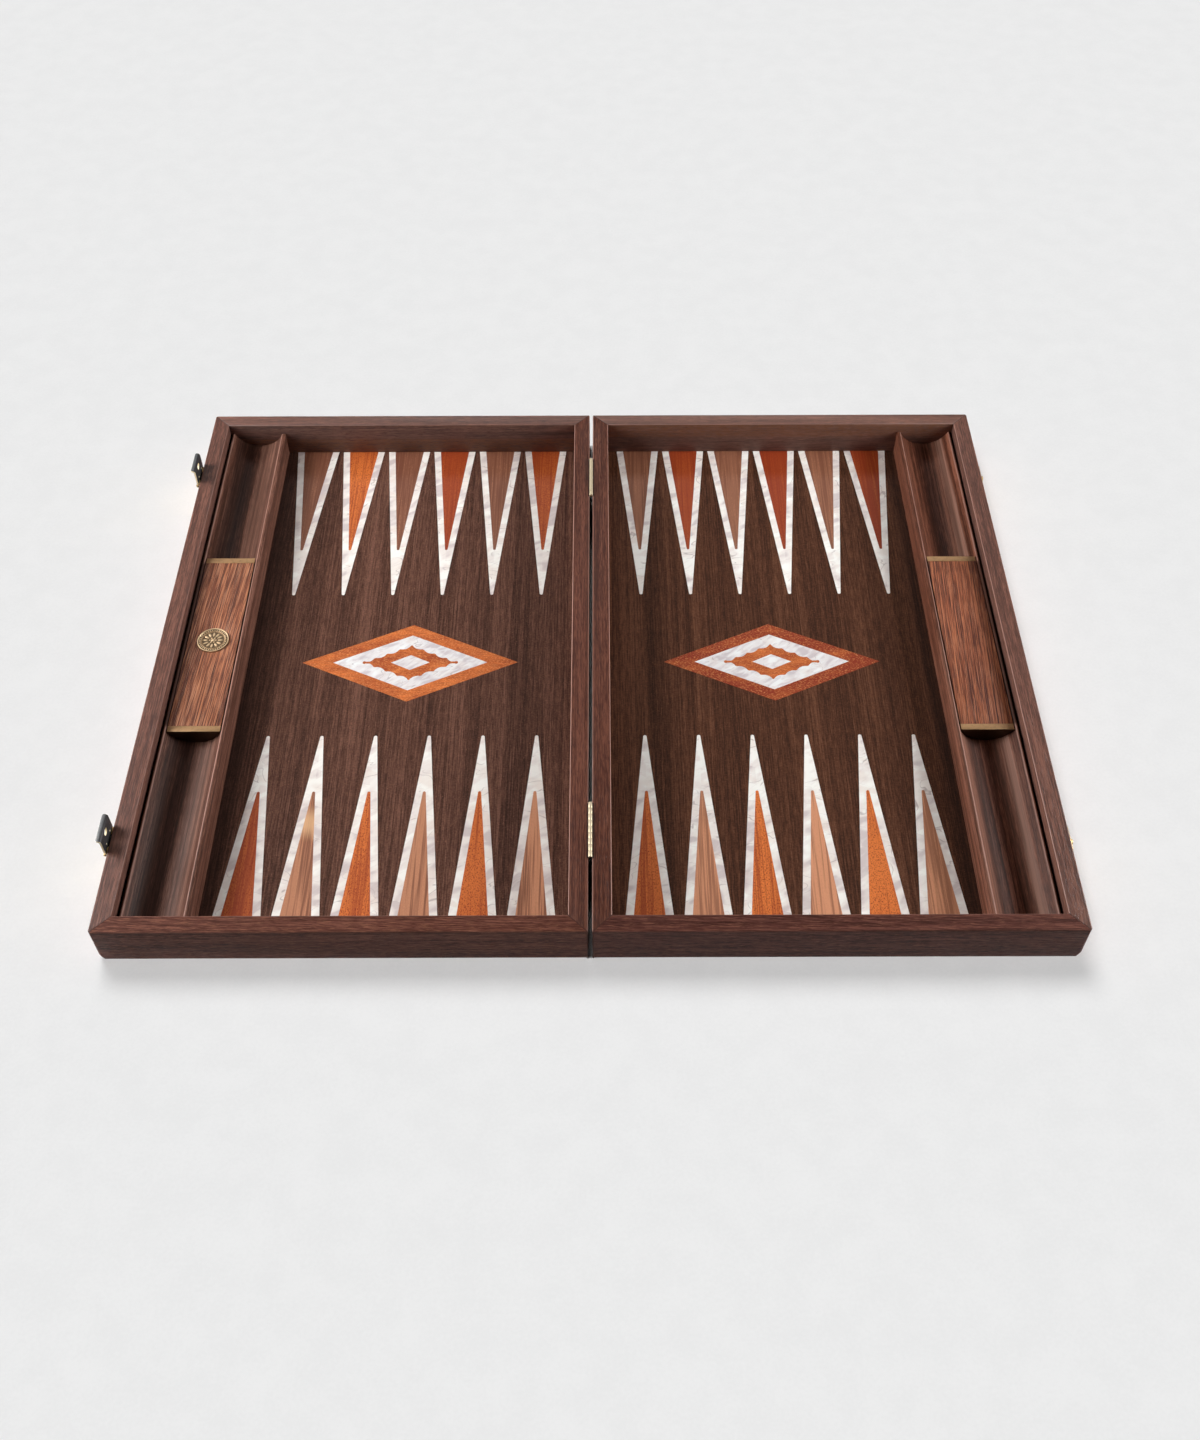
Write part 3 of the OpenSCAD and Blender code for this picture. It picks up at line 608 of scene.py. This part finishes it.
def core_wood(side, wood, seed, lines, specks):
    """The points' wooden cores. lines and specks are the strengths of their dark lines and specks."""
    dark, light, tones = f"{wood}_dark", f"{wood}_light", CORE_TONES[side, wood]
    f = Finish(f"{side} {wood} cores", light)
    rows = PointRows(f, side)
    steps = [(column / len(tones), tone) for column, tone in enumerate(tones)]
    tone = f.node("ValToRGB", {"steps": steps}, {0: rows.step})
    own = rows.number * 0.173 + rows.row * 0.71
    moved = f.node("CombineXYZ", None, {0: f.x + own, 1: f.y * 0.02 + own, 2: own})
    stripe = f.noise(moved, 1.2)
    figure = f.noise(moved, 7) * 0.45 + stripe * 0.55
    fine = f.grain("Y", seed, 0.5, 1.2)
    shade = f.mix(tone, dark, light)
    shade = f.coats(
        shade,
        (figure.between(0.56, 0.38) * lines, f.mix(0.3, shade, dark, "MULTIPLY")),
        (figure.between(0.53, 0.4) * lines, dark),
        ((stripe * 0.5 + fine * 0.5).between(0.52, 0.68) * 0.3, light),
        (fine.between(0.48, 0.36) * specks, dark),
        # Painted shade at the cores' bases by the walls, stronger on the far row.
        (rows.climb.between(26 * MM, 0.0) * (rows.row * 0.15 + 0.15), dark),
    )
    sap = SAPWOOD.get((side, wood))
    if sap:
        climb = rows.climb + (stripe - 0.5) * 8 * MM
        spot = climb.between((sap.start - 6) * MM, (sap.start + 8) * MM)
        spot = spot * climb.between(sap.end * MM, (sap.end - 14) * MM)
        own_core = (abs(rows.number - sap.core) < 0.5) * (1 - rows.row)
        shade = f.mix(spot * own_core * 0.7, shade, "walnut_sap")
    return f.surface(shade, 0.48 + fine * 0.1, fine, 0.02, specular=0.3)


def shell_finish(f, joint, own, size, crinkled, cast):
    """Shell: satin facets that fade from bright white to a pinkish grey, with a few thin curved veins.

    joint marks the lines between pieces, own shifts a piece's tone and cast tints the whole sheet.
    crinkled is the strength of its fine crinkles.
    The bright white is partly the shell's own play of colour and partly painted sheen.
    """
    cloud = f.grain("X", 5, size * 0.7, size * 1.3, detail=1, roughness=0.3, turn=radians(34), distortion=0.5)
    facet = f.grain("X", 9, size * 0.45, size * 0.9, detail=0, turn=radians(-32), distortion=0.6)
    soft = {"detail": 1, "roughness": 0.4}
    bend = f.grain("X", 13, size * 0.8, size * 1.5, turn=radians(-15), distortion=1.4, **soft)
    crinkle = f.grain("X", 17, size * 0.14, size * 0.5, turn=radians(-38), distortion=0.4, **soft)
    tone = facet * 0.62 + cloud * 0.38 - (own - 0.5) * 0.1
    vein = abs(bend - 0.5).between(0.013, 0.0) * cloud.between(0.46, 0.58)
    shade = f.coats(
        "shell_light",
        (tone.between(0.5, 0.36) * 0.85, "shell_grey"),
        # The bright facets: partly the shell's own play of colour, partly painted sheen.
        (tone.between(0.52, 0.64) * 0.9, "shell_bright"),
        (cloud.between(0.52, 0.66) * 0.4, "shell_warm"),
        (crinkle.between(0.43, 0.34) * crinkled, "shell_grey"),
        (crinkle.between(0.56, 0.64) * crinkled, "shell_bright"),
        (vein * 0.6, "shell_vein"),
        (joint * 0.45, "shell_vein"),
    )
    shade = f.mix(1.0, shade, cast, "MULTIPLY")
    return f.surface(shade, 0.3 + cloud * 0.15, facet * 0.5 - joint * 0.4, 0.04)


def point_shell(side):
    """The points' borders: short pieces of shell end to end, brighter towards the tips."""
    f = Finish(f"{side} point shell", "shell_light")
    rows = PointRows(f, side)
    wobble = f.noise(f.place, 6)
    run = (rows.climb + rows.off_middle * 0.3 + wobble * 3 * MM) / board_sizes().shell_piece
    run = run + rows.number * 7.31 + rows.off_middle.sign() * 3.7 + rows.row * 41.3
    pieces = {"voronoi_dimensions": "1D", "feature": "F1"}
    edges = {"voronoi_dimensions": "1D", "feature": "DISTANCE_TO_EDGE"}
    piece = f.node("TexVoronoi", pieces, {"W": run, "Scale": 1.0}, output="Color")
    edge = f.node("TexVoronoi", edges, {"W": run, "Scale": 1.0}, output="Distance")
    own = f.node("SeparateColor", None, {0: piece})
    joint = edge.between(0.016, 0.0) * own.between(0.35, 0.75)
    own = own - rows.climb.between(85 * MM, 115 * MM) * 1.05
    return shell_finish(f, joint, own, 19, 0.15, f"{side}_shell")


def diamond_wood(name, seed, tone):
    """The diamonds' mahogany, with fine flecks along X."""
    f = Finish(name, "mahogany_light")
    streak, fleck, broad = f.grains("X", seed, (1.0, 9, 3), (0.5, 1.4), (7, 22))
    shade = f.coats(
        f.mix((broad - 0.5) * 1.5 + tone, "mahogany_dark", "mahogany_light"),
        (streak.between(0.54, 0.38) * 0.4, "mahogany_dark"),
        (fleck.between(0.54, 0.64) * 0.55, "mahogany_speck"),
        (fleck.between(0.46, 0.35) * 0.55, "mahogany_dark"),
    )
    return f.surface(shade, 0.48 + fleck * 0.1, fleck, 0.02, specular=0.3)


def diamond_shell(name):
    """The diamonds' shell, in one large sheet."""
    f = Finish(name, "shell_light")
    return shell_finish(f, 0.0, f.noise(f.place, 20, 1), 15, 0.4, "diamond_shell")


def brushed_brass(name, shade, seed, roughness, wear, metal=1.0):
    """Brass with fine brush lines and darker clouds."""
    f = Finish(name, shade)
    line = f.grain("Y", seed, 0.12, 9, detail=3)
    cloud = f.noise(f.place, 2.6, 4, 0.6)
    dirt = (cloud.between(0.45, 0.75) * wear, "patina"), (line.between(0.45, 0.65) * 0.2, "patina")
    return f.surface(f.coats(shade, *dirt), roughness + line * 0.12 + cloud * 0.1, line, 0.012, metal)


def hinge_brass(name):
    """The hinges' pale brass; all that lies outside the barrels is dull, with painted shade."""
    f = Finish(name, "brass_pale")
    line = f.grain("Y", 7, 0.12, 9, detail=3)
    leaf = abs(f.x).between(1.2 * MM, 1.3 * MM)
    # Painted shade: the leaves beside the barrels take the walls' dark colour.
    shade = f.coats("brass_pale", (line.between(0.45, 0.65) * 0.15, "brass"), (leaf, "wall_dark"))
    return f.surface(shade, 0.4 + line * 0.12 + leaf * 0.2, line, 0.012, 0.45 - leaf * 0.4)


def plate_brass(side):
    """The end plates' old brass: bright on the edge that shows above, with painted shade on the flat face."""
    low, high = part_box(f"{side}_block_ends")
    f = Finish(f"{side} end plate brass", "brass_old")
    line = f.grain("X", 3, 0.12, 9, detail=3)
    cloud = f.noise(f.place, 2.6, 3, 0.6)
    flat = ((high.y - low.y) / 2 - abs(f.y - (low.y + high.y) / 2)).between(0.14 * MM, 0.04 * MM)
    dirt = cloud.between(0.45, 0.75) * 0.25 + line.between(0.45, 0.65) * 0.15
    # Painted shade: the flat face darkened with the patina colour; the clouds and lines are dirt.
    shade = f.coats("brass_old", (dirt, "patina"), (flat * 0.9, "patina"))
    return f.surface(shade, 0.42 + line * 0.12, line, 0.012, 0.5 - flat * 0.3)


def aged_brass(name, middle, reach, rosette, low, high):
    """Old brass: dark round the beads and the petals, worn bright on what stands up, between two heights.

    reach and rosette are the radii of the bead ring and of the rosette.
    """
    f = Finish(name, "brass_ground")
    cloud = f.noise(f.place, 1.1, 4, 0.65)
    stipple = f.noise(f.place, 0.35, 1)
    worn = (f.z + (cloud - 0.5) * 0.2 * MM).between(low + 0.1 * MM, high)
    across, back = f.x - middle.x, f.y - middle.y
    radius = (across * across + back * back).root()
    hollow = abs(radius - reach).between(1.0 * MM, 0.6 * MM)
    hollow = (hollow + radius.between(rosette + 0.6 * MM, rosette) * 0.85) * f.z.between(low + 0.2 * MM, low)
    shade = f.coats(
        "brass_ground",
        (stipple.between(0.5, 0.36) * 0.5 + cloud.between(0.52, 0.36) * 0.35, "patina"),
        (hollow * 0.8, "patina"),
        (worn, "brass_worn"),
    )
    return f.surface(shade, 0.52 - worn * 0.14, cloud * 0.5 + stipple * 0.5, 0.05, 0.45 + worn * 0.2)


def dark_steel(name, top):
    """The clasps' dark satin metal, with painted light on the lip's upper side, at top."""
    f = Finish(name, "dark_metal")
    line = f.grain("Y", 5, 0.15, 6, detail=3)
    cloud = f.noise(f.place, 2, 3, 0.6)
    lip = (top - f.z).between(0.25 * MM, 0.05 * MM)
    # Painted light: the lip's upper side paler than the rest.
    shade = f.coats("dark_metal", (lip, "lip_metal"), (cloud.between(0.4, 0.7) * 0.25, "patina"))
    return f.surface(shade, 0.42 + line * 0.15 + cloud * 0.1, line, 0.01, 0.6)


def floor_paper(name):
    """The pale floor, with a faint mottle."""
    f = Finish(name, "floor")
    cloud = f.noise(f.place, 25, 5, 0.62)
    fibre = f.noise(f.place, 2)
    shade = f.mix((cloud * 0.6 + fibre * 0.4).between(0.35, 0.65) * 0.1, "floor", "floor_shade")
    return f.surface(shade, 0.9, specular=0.1)


def enter(mode):
    bpy.ops.object.mode_set(mode=mode)


def deselect():
    if bpy.context.object and bpy.context.object.mode != "OBJECT":
        enter("OBJECT")
    bpy.ops.object.select_all(action="DESELECT")


def choose(piece):
    """Makes one piece the only selected one."""
    deselect()
    piece.select_set(True)
    bpy.context.view_layer.objects.active = piece


def cover(piece, material):
    """Gives a new piece its material."""
    piece.data.materials.clear()
    piece.data.materials.append(material)


def dress(node, material):
    """Gives a CAD node a better material in its slots."""
    for slot in frame["nodes"][node].material_slots:
        slot.material = material


def soften(piece, width):
    """Bevels a piece's sharp edges."""
    bevel = piece.modifiers.new("soft edges", "BEVEL")
    bevel.width, bevel.segments = width, 2
    bevel.limit_method, bevel.angle_limit = "ANGLE", radians(40)
    bpy.ops.object.modifier_apply(modifier=bevel.name)


def merge(distance):
    """Merges the points of the chosen piece that lie this close together. It is in edit mode."""
    bpy.ops.mesh.select_all(action="SELECT")
    bpy.ops.mesh.remove_doubles(threshold=distance)


def cut_facet(middle, normal, radius):
    """Cuts off what lies outside one tangent plane of a ball. The piece is in edit mode."""
    bpy.ops.mesh.select_all(action="SELECT")
    place = middle + normal * radius
    bpy.ops.mesh.bisect(plane_co=place, plane_no=normal, use_fill=True, clear_outer=True, threshold=WELD / 2)


def round_corner(corner, first, second, facets=5):
    """Rounds a straight corner, facet by facet. An upright corner also loses its sharp tip at the floor."""
    sizes = board_sizes()
    middle = corner - (first + second) * sizes.rim_round
    for number in range(1, facets + 1):
        turn = pi / 2 * number / (facets + 1)
        cut_facet(middle, first * cos(turn) + second * sin(turn), sizes.rim_round)
    if not second.z:
        down = Vector((0, 0, -1))
        middle = corner - (first + second + down) * sizes.tip_round
        for slope in TIP_SLOPES:
            cut_facet(middle, (first + second + down * slope).normalized(), sizes.tip_round)


def stand_for(node, piece):
    """Puts a finished piece in the place of a CAD node."""
    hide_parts(node)
    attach(piece, frame["nodes"][node]["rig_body"])


def refine(node, name, material, edge=0.0, rounds=()):
    """A merged copy of a CAD node with softened edges, which then stands for it.

    rounds are corners to round, each with a point on it and the outward normals of its two faces.
    """
    piece = bpy.data.objects.new(name, frame["nodes"][node].data.copy())
    bpy.context.scene.collection.objects.link(piece)
    choose(piece)
    enter("EDIT")
    merge(WELD)
    bpy.ops.mesh.dissolve_limited(angle_limit=radians(0.3))
    for corner, first, second in rounds:
        round_corner(Vector(corner), Vector(first), Vector(second))
    merge(SKIN)
    enter("OBJECT")
    bpy.ops.mesh.customdata_custom_splitnormals_clear()
    if edge:
        soften(piece, edge)
        enter("EDIT")
        merge(WELD)
        enter("OBJECT")
    bpy.ops.object.shade_smooth_by_angle(angle=radians(35))
    cover(piece, material)
    stand_for(node, piece)
    return piece


class BOARD_OT_stage(Operator):
    """Adds the floor, the soft studio light and the camera"""

    bl_idname = "board.stage"
    bl_label = "Stage"

    def execute(self, context):
        deselect()
        stage = context.scene.board_stage
        bpy.ops.mesh.primitive_plane_add(size=14, location=(0, 0, 0))
        floor = context.object
        floor.name = "floor"
        cover(floor, floor_paper("floor paper"))

        pieces = [piece for piece in context.scene.objects if piece.type == "MESH" and piece != floor]
        inner = [piece for piece in pieces if not any(part in piece.name for part in RIM_PIECES)]
        board, ground = self.collection("lit board", pieces), self.collection("lit floor", [floor])
        for name, place, width, height in SOFT_LIGHTS:
            power = getattr(stage, name.replace(" light", "_power"))
            light = self.light("AREA", name, power, place, -Vector(place), "Z", board)
            light.data.shape, light.data.size, light.data.size_y = "RECTANGLE", width, height
            light.visible_camera = False
        # The rim keeps off only a share of the floor's light; the rest is blocked by the inner pieces alone.
        strength, shade = stage.floor_strength, stage.floor_shade
        light = self.sun("floor light", strength * (1 - shade), (0.9, 0.3, -1.0), ground)
        light.light_linking.blocker_collection = self.collection("inner pieces", inner)
        self.sun("shadow light", strength * shade, (0.24, -0.62, -1.0), ground)
        self.surround(context.scene, stage.backdrop_strength)
        self.camera(context.scene, stage)
        return {"FINISHED"}

    def collection(self, name, objects):
        """A collection that tells a light what it shines on or what blocks it."""
        group = bpy.data.collections.new(name)
        for piece in objects:
            group.objects.link(piece)
        return group

    def light(self, kind, name, power, place, direction, up, receivers):
        """A light that shines on the receivers only."""
        bpy.ops.object.light_add(type=kind, location=place)
        light = bpy.context.object
        light.name, light.data.energy = name, power
        light.rotation_euler = direction.to_track_quat("-Z", up).to_euler()
        light.light_linking.receiver_collection = receivers
        return light

    def sun(self, name, strength, direction, receivers):
        """A broad light on the floor."""
        light = self.light("SUN", name, strength, (0, 0.6, 1.6), Vector(direction), "Y", receivers)
        light.data.angle = bpy.context.scene.board_stage.floor_softness
        return light

    def surround(self, scene, strength):
        """A pale shell far round the stage that lights nothing, and a dark world."""
        bpy.ops.mesh.primitive_uv_sphere_add(segments=48, ring_count=24, radius=20)
        shell = bpy.context.object
        shell.name = "backdrop"
        f = Finish("backdrop glow", "backdrop")
        f.finish(f.node("Emission", None, {"Color": "backdrop", "Strength": strength}))
        cover(shell, f.material)
        for rays in ("diffuse", "glossy", "transmission", "shadow"):
            setattr(shell, f"visible_{rays}", False)
        scene.world = bpy.data.worlds.new("dark studio")
        scene.world.use_nodes = True
        scene.world.node_tree.nodes["Background"].inputs["Strength"].default_value = 0.0

    def camera(self, scene, stage):
        """The camera of the photo."""
        place = (stage.camera_x, -stage.camera_back, stage.camera_height)
        bpy.ops.object.camera_add(location=place, rotation=(pi / 2 - stage.pitch, 0, 0))
        camera = bpy.context.object
        camera.name = "camera"
        camera.matrix_world = camera.matrix_world @ Matrix.Rotation(stage.roll, 4, "Z")
        camera.data.sensor_fit, camera.data.sensor_width = "HORIZONTAL", SENSOR_WIDTH
        camera.data.lens = stage.focal_pixels * SENSOR_WIDTH / IMAGE_WIDTH
        camera.data.clip_start, camera.data.clip_end = 0.01, 50
        scene.camera = camera
        scene.view_settings.view_transform = "Standard"


class BOARD_OT_walls(Operator):
    """Dresses the eight mitred walls in dark brown wood"""

    bl_idname = "board.walls"
    bl_label = "Walls"

    def execute(self, context):
        edge = board_sizes().wood_edge
        for half, side in enumerate(SIDES):
            for number, (wall, look) in enumerate(WALL_LOOKS.items()):
                node, seed = f"{side}_{wall}", 11 + 17 * half + 5 * number
                corners = self.outer_corners(node, look.axis)
                refine(node, f"{node}_board", wall_wood(node, look, seed, half), edge, corners)
        return {"FINISHED"}

    def outer_corners(self, node, axis):
        """The upright outer corners and the outer foot of a wall of the rim."""
        if node.endswith("hinge_wall"):
            return ()
        low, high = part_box(node)
        x, y = (max(ends, key=abs) for ends in ((low.x, high.x), (low.y, high.y)))
        corner, down = (x, y, low.z), (0, 0, -1)
        sideways, endways = (copysign(1, x), 0, 0), (0, copysign(1, y), 0)
        if axis == "x":
            return (corner, endways, down), (corner, endways, sideways)
        uprights = [((x, end, low.z), sideways, (0, turn, 0)) for end, turn in ((low.y, -1), (high.y, 1))]
        return (corner, sideways, down), *uprights


class BOARD_OT_bottoms(Operator):
    """Dresses the plywood panels and the underside veneers"""

    bl_idname = "board.bottoms"
    bl_label = "Bottoms"

    def execute(self, context):
        for half, side in enumerate(SIDES):
            dress(f"{side}_panel", plain_wood(f"{side} plywood", 71 + half, "walnut", "X"))
            dress(f"{side}_underside_veneer", plain_wood(f"{side} underside veneer", 75 + half, "wall", "Y"))
        return {"FINISHED"}


class BOARD_OT_fields(Operator):
    """Dresses the playing fields: dark veneer, points and diamonds"""

    bl_idname = "board.fields"
    bl_label = "Fields"

    def execute(self, context):
        for half, side in enumerate(SIDES):
            shell = diamond_shell(f"{side} diamond shell")
            for part, material in {
                "field_veneer": field_wood(side, 31 + 9 * half),
                "point_mahogany": core_wood(side, "mahogany", 41 + half, 0.5, 1.0),
                "point_walnut": core_wood(side, "walnut", 45 + half, 0.7 - 0.2 * half, 0.12),
                "point_pearl": point_shell(side),
                "diamond_pearl": shell,
                "diamond_centre": shell,
                "diamond_frame": diamond_wood(f"{side} diamond wood", 51 + half, 0.66 - 0.66 * half),
                "diamond_scallop": diamond_wood(f"{side} scallop wood", 55 + half, 0.5),
            }.items():
                dress(f"{side}_{part}", material)
        return {"FINISHED"}


class BOARD_OT_racks(Operator):
    """Dresses the two racks with their round troughs"""

    bl_idname = "board.racks"
    bl_label = "Racks"

    def execute(self, context):
        sizes = board_sizes()
        arrises = ((sizes.ridge_arris, 0.0), (sizes.lip_arris, 0.85))
        for half, side in enumerate(SIDES):
            block = [corner.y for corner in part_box(f"{side}_block")]
            wood = rack_wood(side, 61 + 4 * half, arrises, block)
            refine(f"{side}_rack", f"{side}_rack_moulding", wood, sizes.rack_edge)
        return {"FINISHED"}


class BOARD_OT_blocks(Operator):
    """Dresses the two divider blocks and their brass end plates"""

    bl_idname = "board.blocks"
    bl_label = "Divider blocks"

    def execute(self, context):
        sizes = board_sizes()
        for half, side in enumerate(SIDES):
            wood = block_wood(side, 81 + 7 * half)
            refine(f"{side}_block", f"{side}_block_wood", wood, sizes.block_edge)
            brass = plate_brass(side)
            refine(f"{side}_block_ends", f"{side}_block_plates", brass, sizes.metal_edge)
        return {"FINISHED"}


class BOARD_OT_medallion(Operator):
    """Models the medallion: a plain rim, a ring of beads and a rosette"""

    bl_idname = "board.medallion"
    bl_label = "Medallion"

    def execute(self, context):
        sizes = context.scene.board_medallion
        low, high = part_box("medallion")
        middle, radius = (low + high) / 2, (high.x - low.x) / 2
        face = high.z - sizes.face_drop
        disc = self.disc(sizes, middle, radius, low.z, high.z)
        reach = radius - sizes.bead_inset
        middle.z = face
        length, width, start = sizes.petal_length, sizes.petal_width, sizes.petal_start
        petal = length / 2, width / 2, sizes.petal_rise
        leaf = start * 0.35, width * 0.42, sizes.leaf_rise
        reliefs = [
            *self.ring_of(sizes.petal_count, middle, start + length / 2, petal),
            *self.ring_of(sizes.leaf_count, middle, start * 0.65, leaf),
            *self.ring_of(sizes.bead_count, middle, reach, (sizes.bead_radius,) * 3),
            self.half_ball(middle, 0.0, (sizes.boss_radius, sizes.boss_radius, sizes.boss_rise), 0.0),
        ]
        choose(disc)
        for relief in reliefs:
            relief.select_set(True)
        bpy.ops.object.join()
        disc.name = "medallion_relief"
        bpy.ops.object.transform_apply()
        bpy.ops.object.shade_smooth_by_angle(angle=radians(40))
        brass = aged_brass("medallion brass", middle, reach, start + length, face + SKIN, face + 0.45 * MM)
        cover(disc, brass)
        stand_for("medallion", disc)
        return {"FINISHED"}

    def disc(self, sizes, middle, radius, bottom, top):
        """A round disc whose face is let in within a plain rim."""
        deselect()
        bpy.ops.mesh.primitive_cylinder_add(vertices=96, radius=radius, depth=top - bottom, location=middle)
        disc = bpy.context.object
        bpy.ops.object.transform_apply()
        steps = (  # inwards and up: the rim, its wall, the face and a raised line round the rosette
            (sizes.rim_width, 0.0), (0.2 * MM, -sizes.face_drop), (1.3 * MM, 0.0),
            (0.15 * MM, 0.28 * MM), (0.3 * MM, 0.0), (0.15 * MM, -0.28 * MM),
        )
        enter("EDIT")
        bpy.ops.mesh.select_mode(type="FACE")
        bpy.ops.mesh.select_all(action="DESELECT")
        enter("OBJECT")
        for face in disc.data.polygons:
            face.select = face.normal.z > 0.9  # the top
        enter("EDIT")
        for inwards, rise in steps:
            bpy.ops.mesh.inset(thickness=inwards, depth=0)
            bpy.ops.transform.translate(value=(0, 0, rise))
        enter("OBJECT")
        soften(disc, 0.12 * MM)
        return disc

    def ring_of(self, count, middle, reach, half_sizes):
        """Half balls in a ring."""
        return [self.half_ball(middle, reach, half_sizes, 2 * pi * i / count) for i in range(count)]

    def half_ball(self, middle, reach, half_sizes, turn):
        """Half a ball on the face, stretched to its half length, half width and height."""
        deselect()
        bpy.ops.mesh.primitive_uv_sphere_add(segments=14, ring_count=8, radius=1.0, location=(0, 0, 0))
        piece = bpy.context.object
        enter("EDIT")
        bpy.ops.mesh.select_all(action="SELECT")
        bpy.ops.mesh.bisect(plane_co=(0, 0, 0), plane_no=(0, 0, 1), clear_inner=True, use_fill=True)
        bpy.ops.mesh.select_all(action="SELECT")
        bpy.ops.transform.resize(value=half_sizes, center_override=(0, 0, 0))
        enter("OBJECT")
        place = Vector((middle.x + reach * cos(turn), middle.y + reach * sin(turn), middle.z))
        piece.matrix_world = Matrix.Translation(place) @ Matrix.Rotation(turn, 4, "Z")
        bpy.ops.object.transform_apply()
        return piece


class BOARD_OT_hinges(Operator):
    """Dresses the two hinges and their screws"""

    bl_idname = "board.hinges"
    bl_label = "Hinges"

    def execute(self, context):
        sizes = board_sizes()
        pale = hinge_brass("hinge brass")
        for side in SIDES:
            refine(f"{side}_hinge_leaves", f"{side}_hinge_plates", pale, sizes.metal_edge / 2)
            refine(f"{side}_hinge_screws", f"{side}_hinge_screw_heads", pale)
        refine("hinge_pins", "hinge_pin_rods", pale)
        return {"FINISHED"}


class BOARD_OT_clasps(Operator):
    """Dresses the clasps: base plates, pins, screws and flaps"""

    bl_idname = "board.clasps"
    bl_label = "Clasps"

    def execute(self, context):
        sizes = board_sizes()
        gold = brushed_brass("clasp brass", "brass", 9, 0.3, wear=0.2)
        edge = brushed_brass("clasp edge brass", "gold_edge", 19, 0.45, wear=0.05, metal=0.05)
        refine("clasp_plates", "clasp_base_plates", gold, sizes.metal_edge)
        refine("clasp_screws", "clasp_screw_heads", gold)
        dark = dark_steel("clasp metal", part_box("clasp_flap_near")[1].z)
        refine("clasp_pins", "clasp_pin_rods", dark)
        for end in ("near", "far"):
            latch = refine(f"clasp_flap_{end}", f"clasp_latch_{end}", dark, sizes.metal_edge)
            latch.data.materials.append(edge)
            low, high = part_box(f"clasp_flap_{end}")
            for face in latch.data.polygons:
                rise = (face.center.z - low.z) / (high.z - low.z)
                face.material_index = int(self.is_bright(face, rise, sizes.rivet_area))
        return {"FINISHED"}

    def is_bright(self, face, rise, rivet_area):
        """Whether a face is of bright metal: the back, the flanks, the slot's walls and the rivets."""
        out, along = face.normal.x, abs(face.normal.y)
        rivet = out > 0.3 and face.area < rivet_area
        slot = 0.4 < rise < 0.88 and abs(out) < 0.3
        return rivet or slot or along > 0.7 or out < -0.3


class BOARD_OT_catches(Operator):
    """Dresses the two catches and their screws"""

    bl_idname = "board.catches"
    bl_label = "Catches"

    def execute(self, context):
        gold = brushed_brass("catch brass", "brass", 15, 0.3, wear=0.2)
        refine("catches", "catch_plates", gold, board_sizes().metal_edge)
        refine("catch_screws", "catch_screw_heads", gold)
        return {"FINISHED"}


class BOARD_PT_panel(Panel):
    """Lists the steps that dress the board"""

    bl_label = "Backgammon board"
    bl_space_type = "VIEW_3D"
    bl_region_type = "UI"
    bl_category = "Board"

    def draw(self, context):
        for step in STEPS:
            self.layout.operator(step.bl_idname)
        for name, group in GROUPS.items():
            for value in group.__annotations__:
                self.layout.prop(getattr(context.scene, name), value)


STEPS = (
    BOARD_OT_walls, BOARD_OT_bottoms, BOARD_OT_fields, BOARD_OT_racks, BOARD_OT_blocks, BOARD_OT_medallion,
    BOARD_OT_hinges, BOARD_OT_clasps, BOARD_OT_catches, BOARD_OT_stage,
)
GROUPS = {
    "board_colours": BoardColours,
    "board_sizes": BoardSizes,
    "board_medallion": MedallionSizes,
    "board_stage": StageSettings,
}


def register():
    for name, group in GROUPS.items():
        bpy.utils.register_class(group)
        setattr(bpy.types.Scene, name, PointerProperty(type=group))
    for step in (*STEPS, BOARD_PT_panel):
        bpy.utils.register_class(step)


def unregister():
    for step in (*STEPS, BOARD_PT_panel):
        bpy.utils.unregister_class(step)
    for name, group in GROUPS.items():
        delattr(bpy.types.Scene, name)
        bpy.utils.unregister_class(group)


def main():
    register()
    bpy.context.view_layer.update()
    bpy.ops.board.walls()
    bpy.ops.board.bottoms()
    bpy.ops.board.fields()
    bpy.ops.board.racks()
    bpy.ops.board.blocks()
    bpy.ops.board.medallion()
    bpy.ops.board.hinges()
    bpy.ops.board.clasps()
    bpy.ops.board.catches()
    bpy.ops.board.stage()
    deselect()


if __name__ == "__main__":
    main()
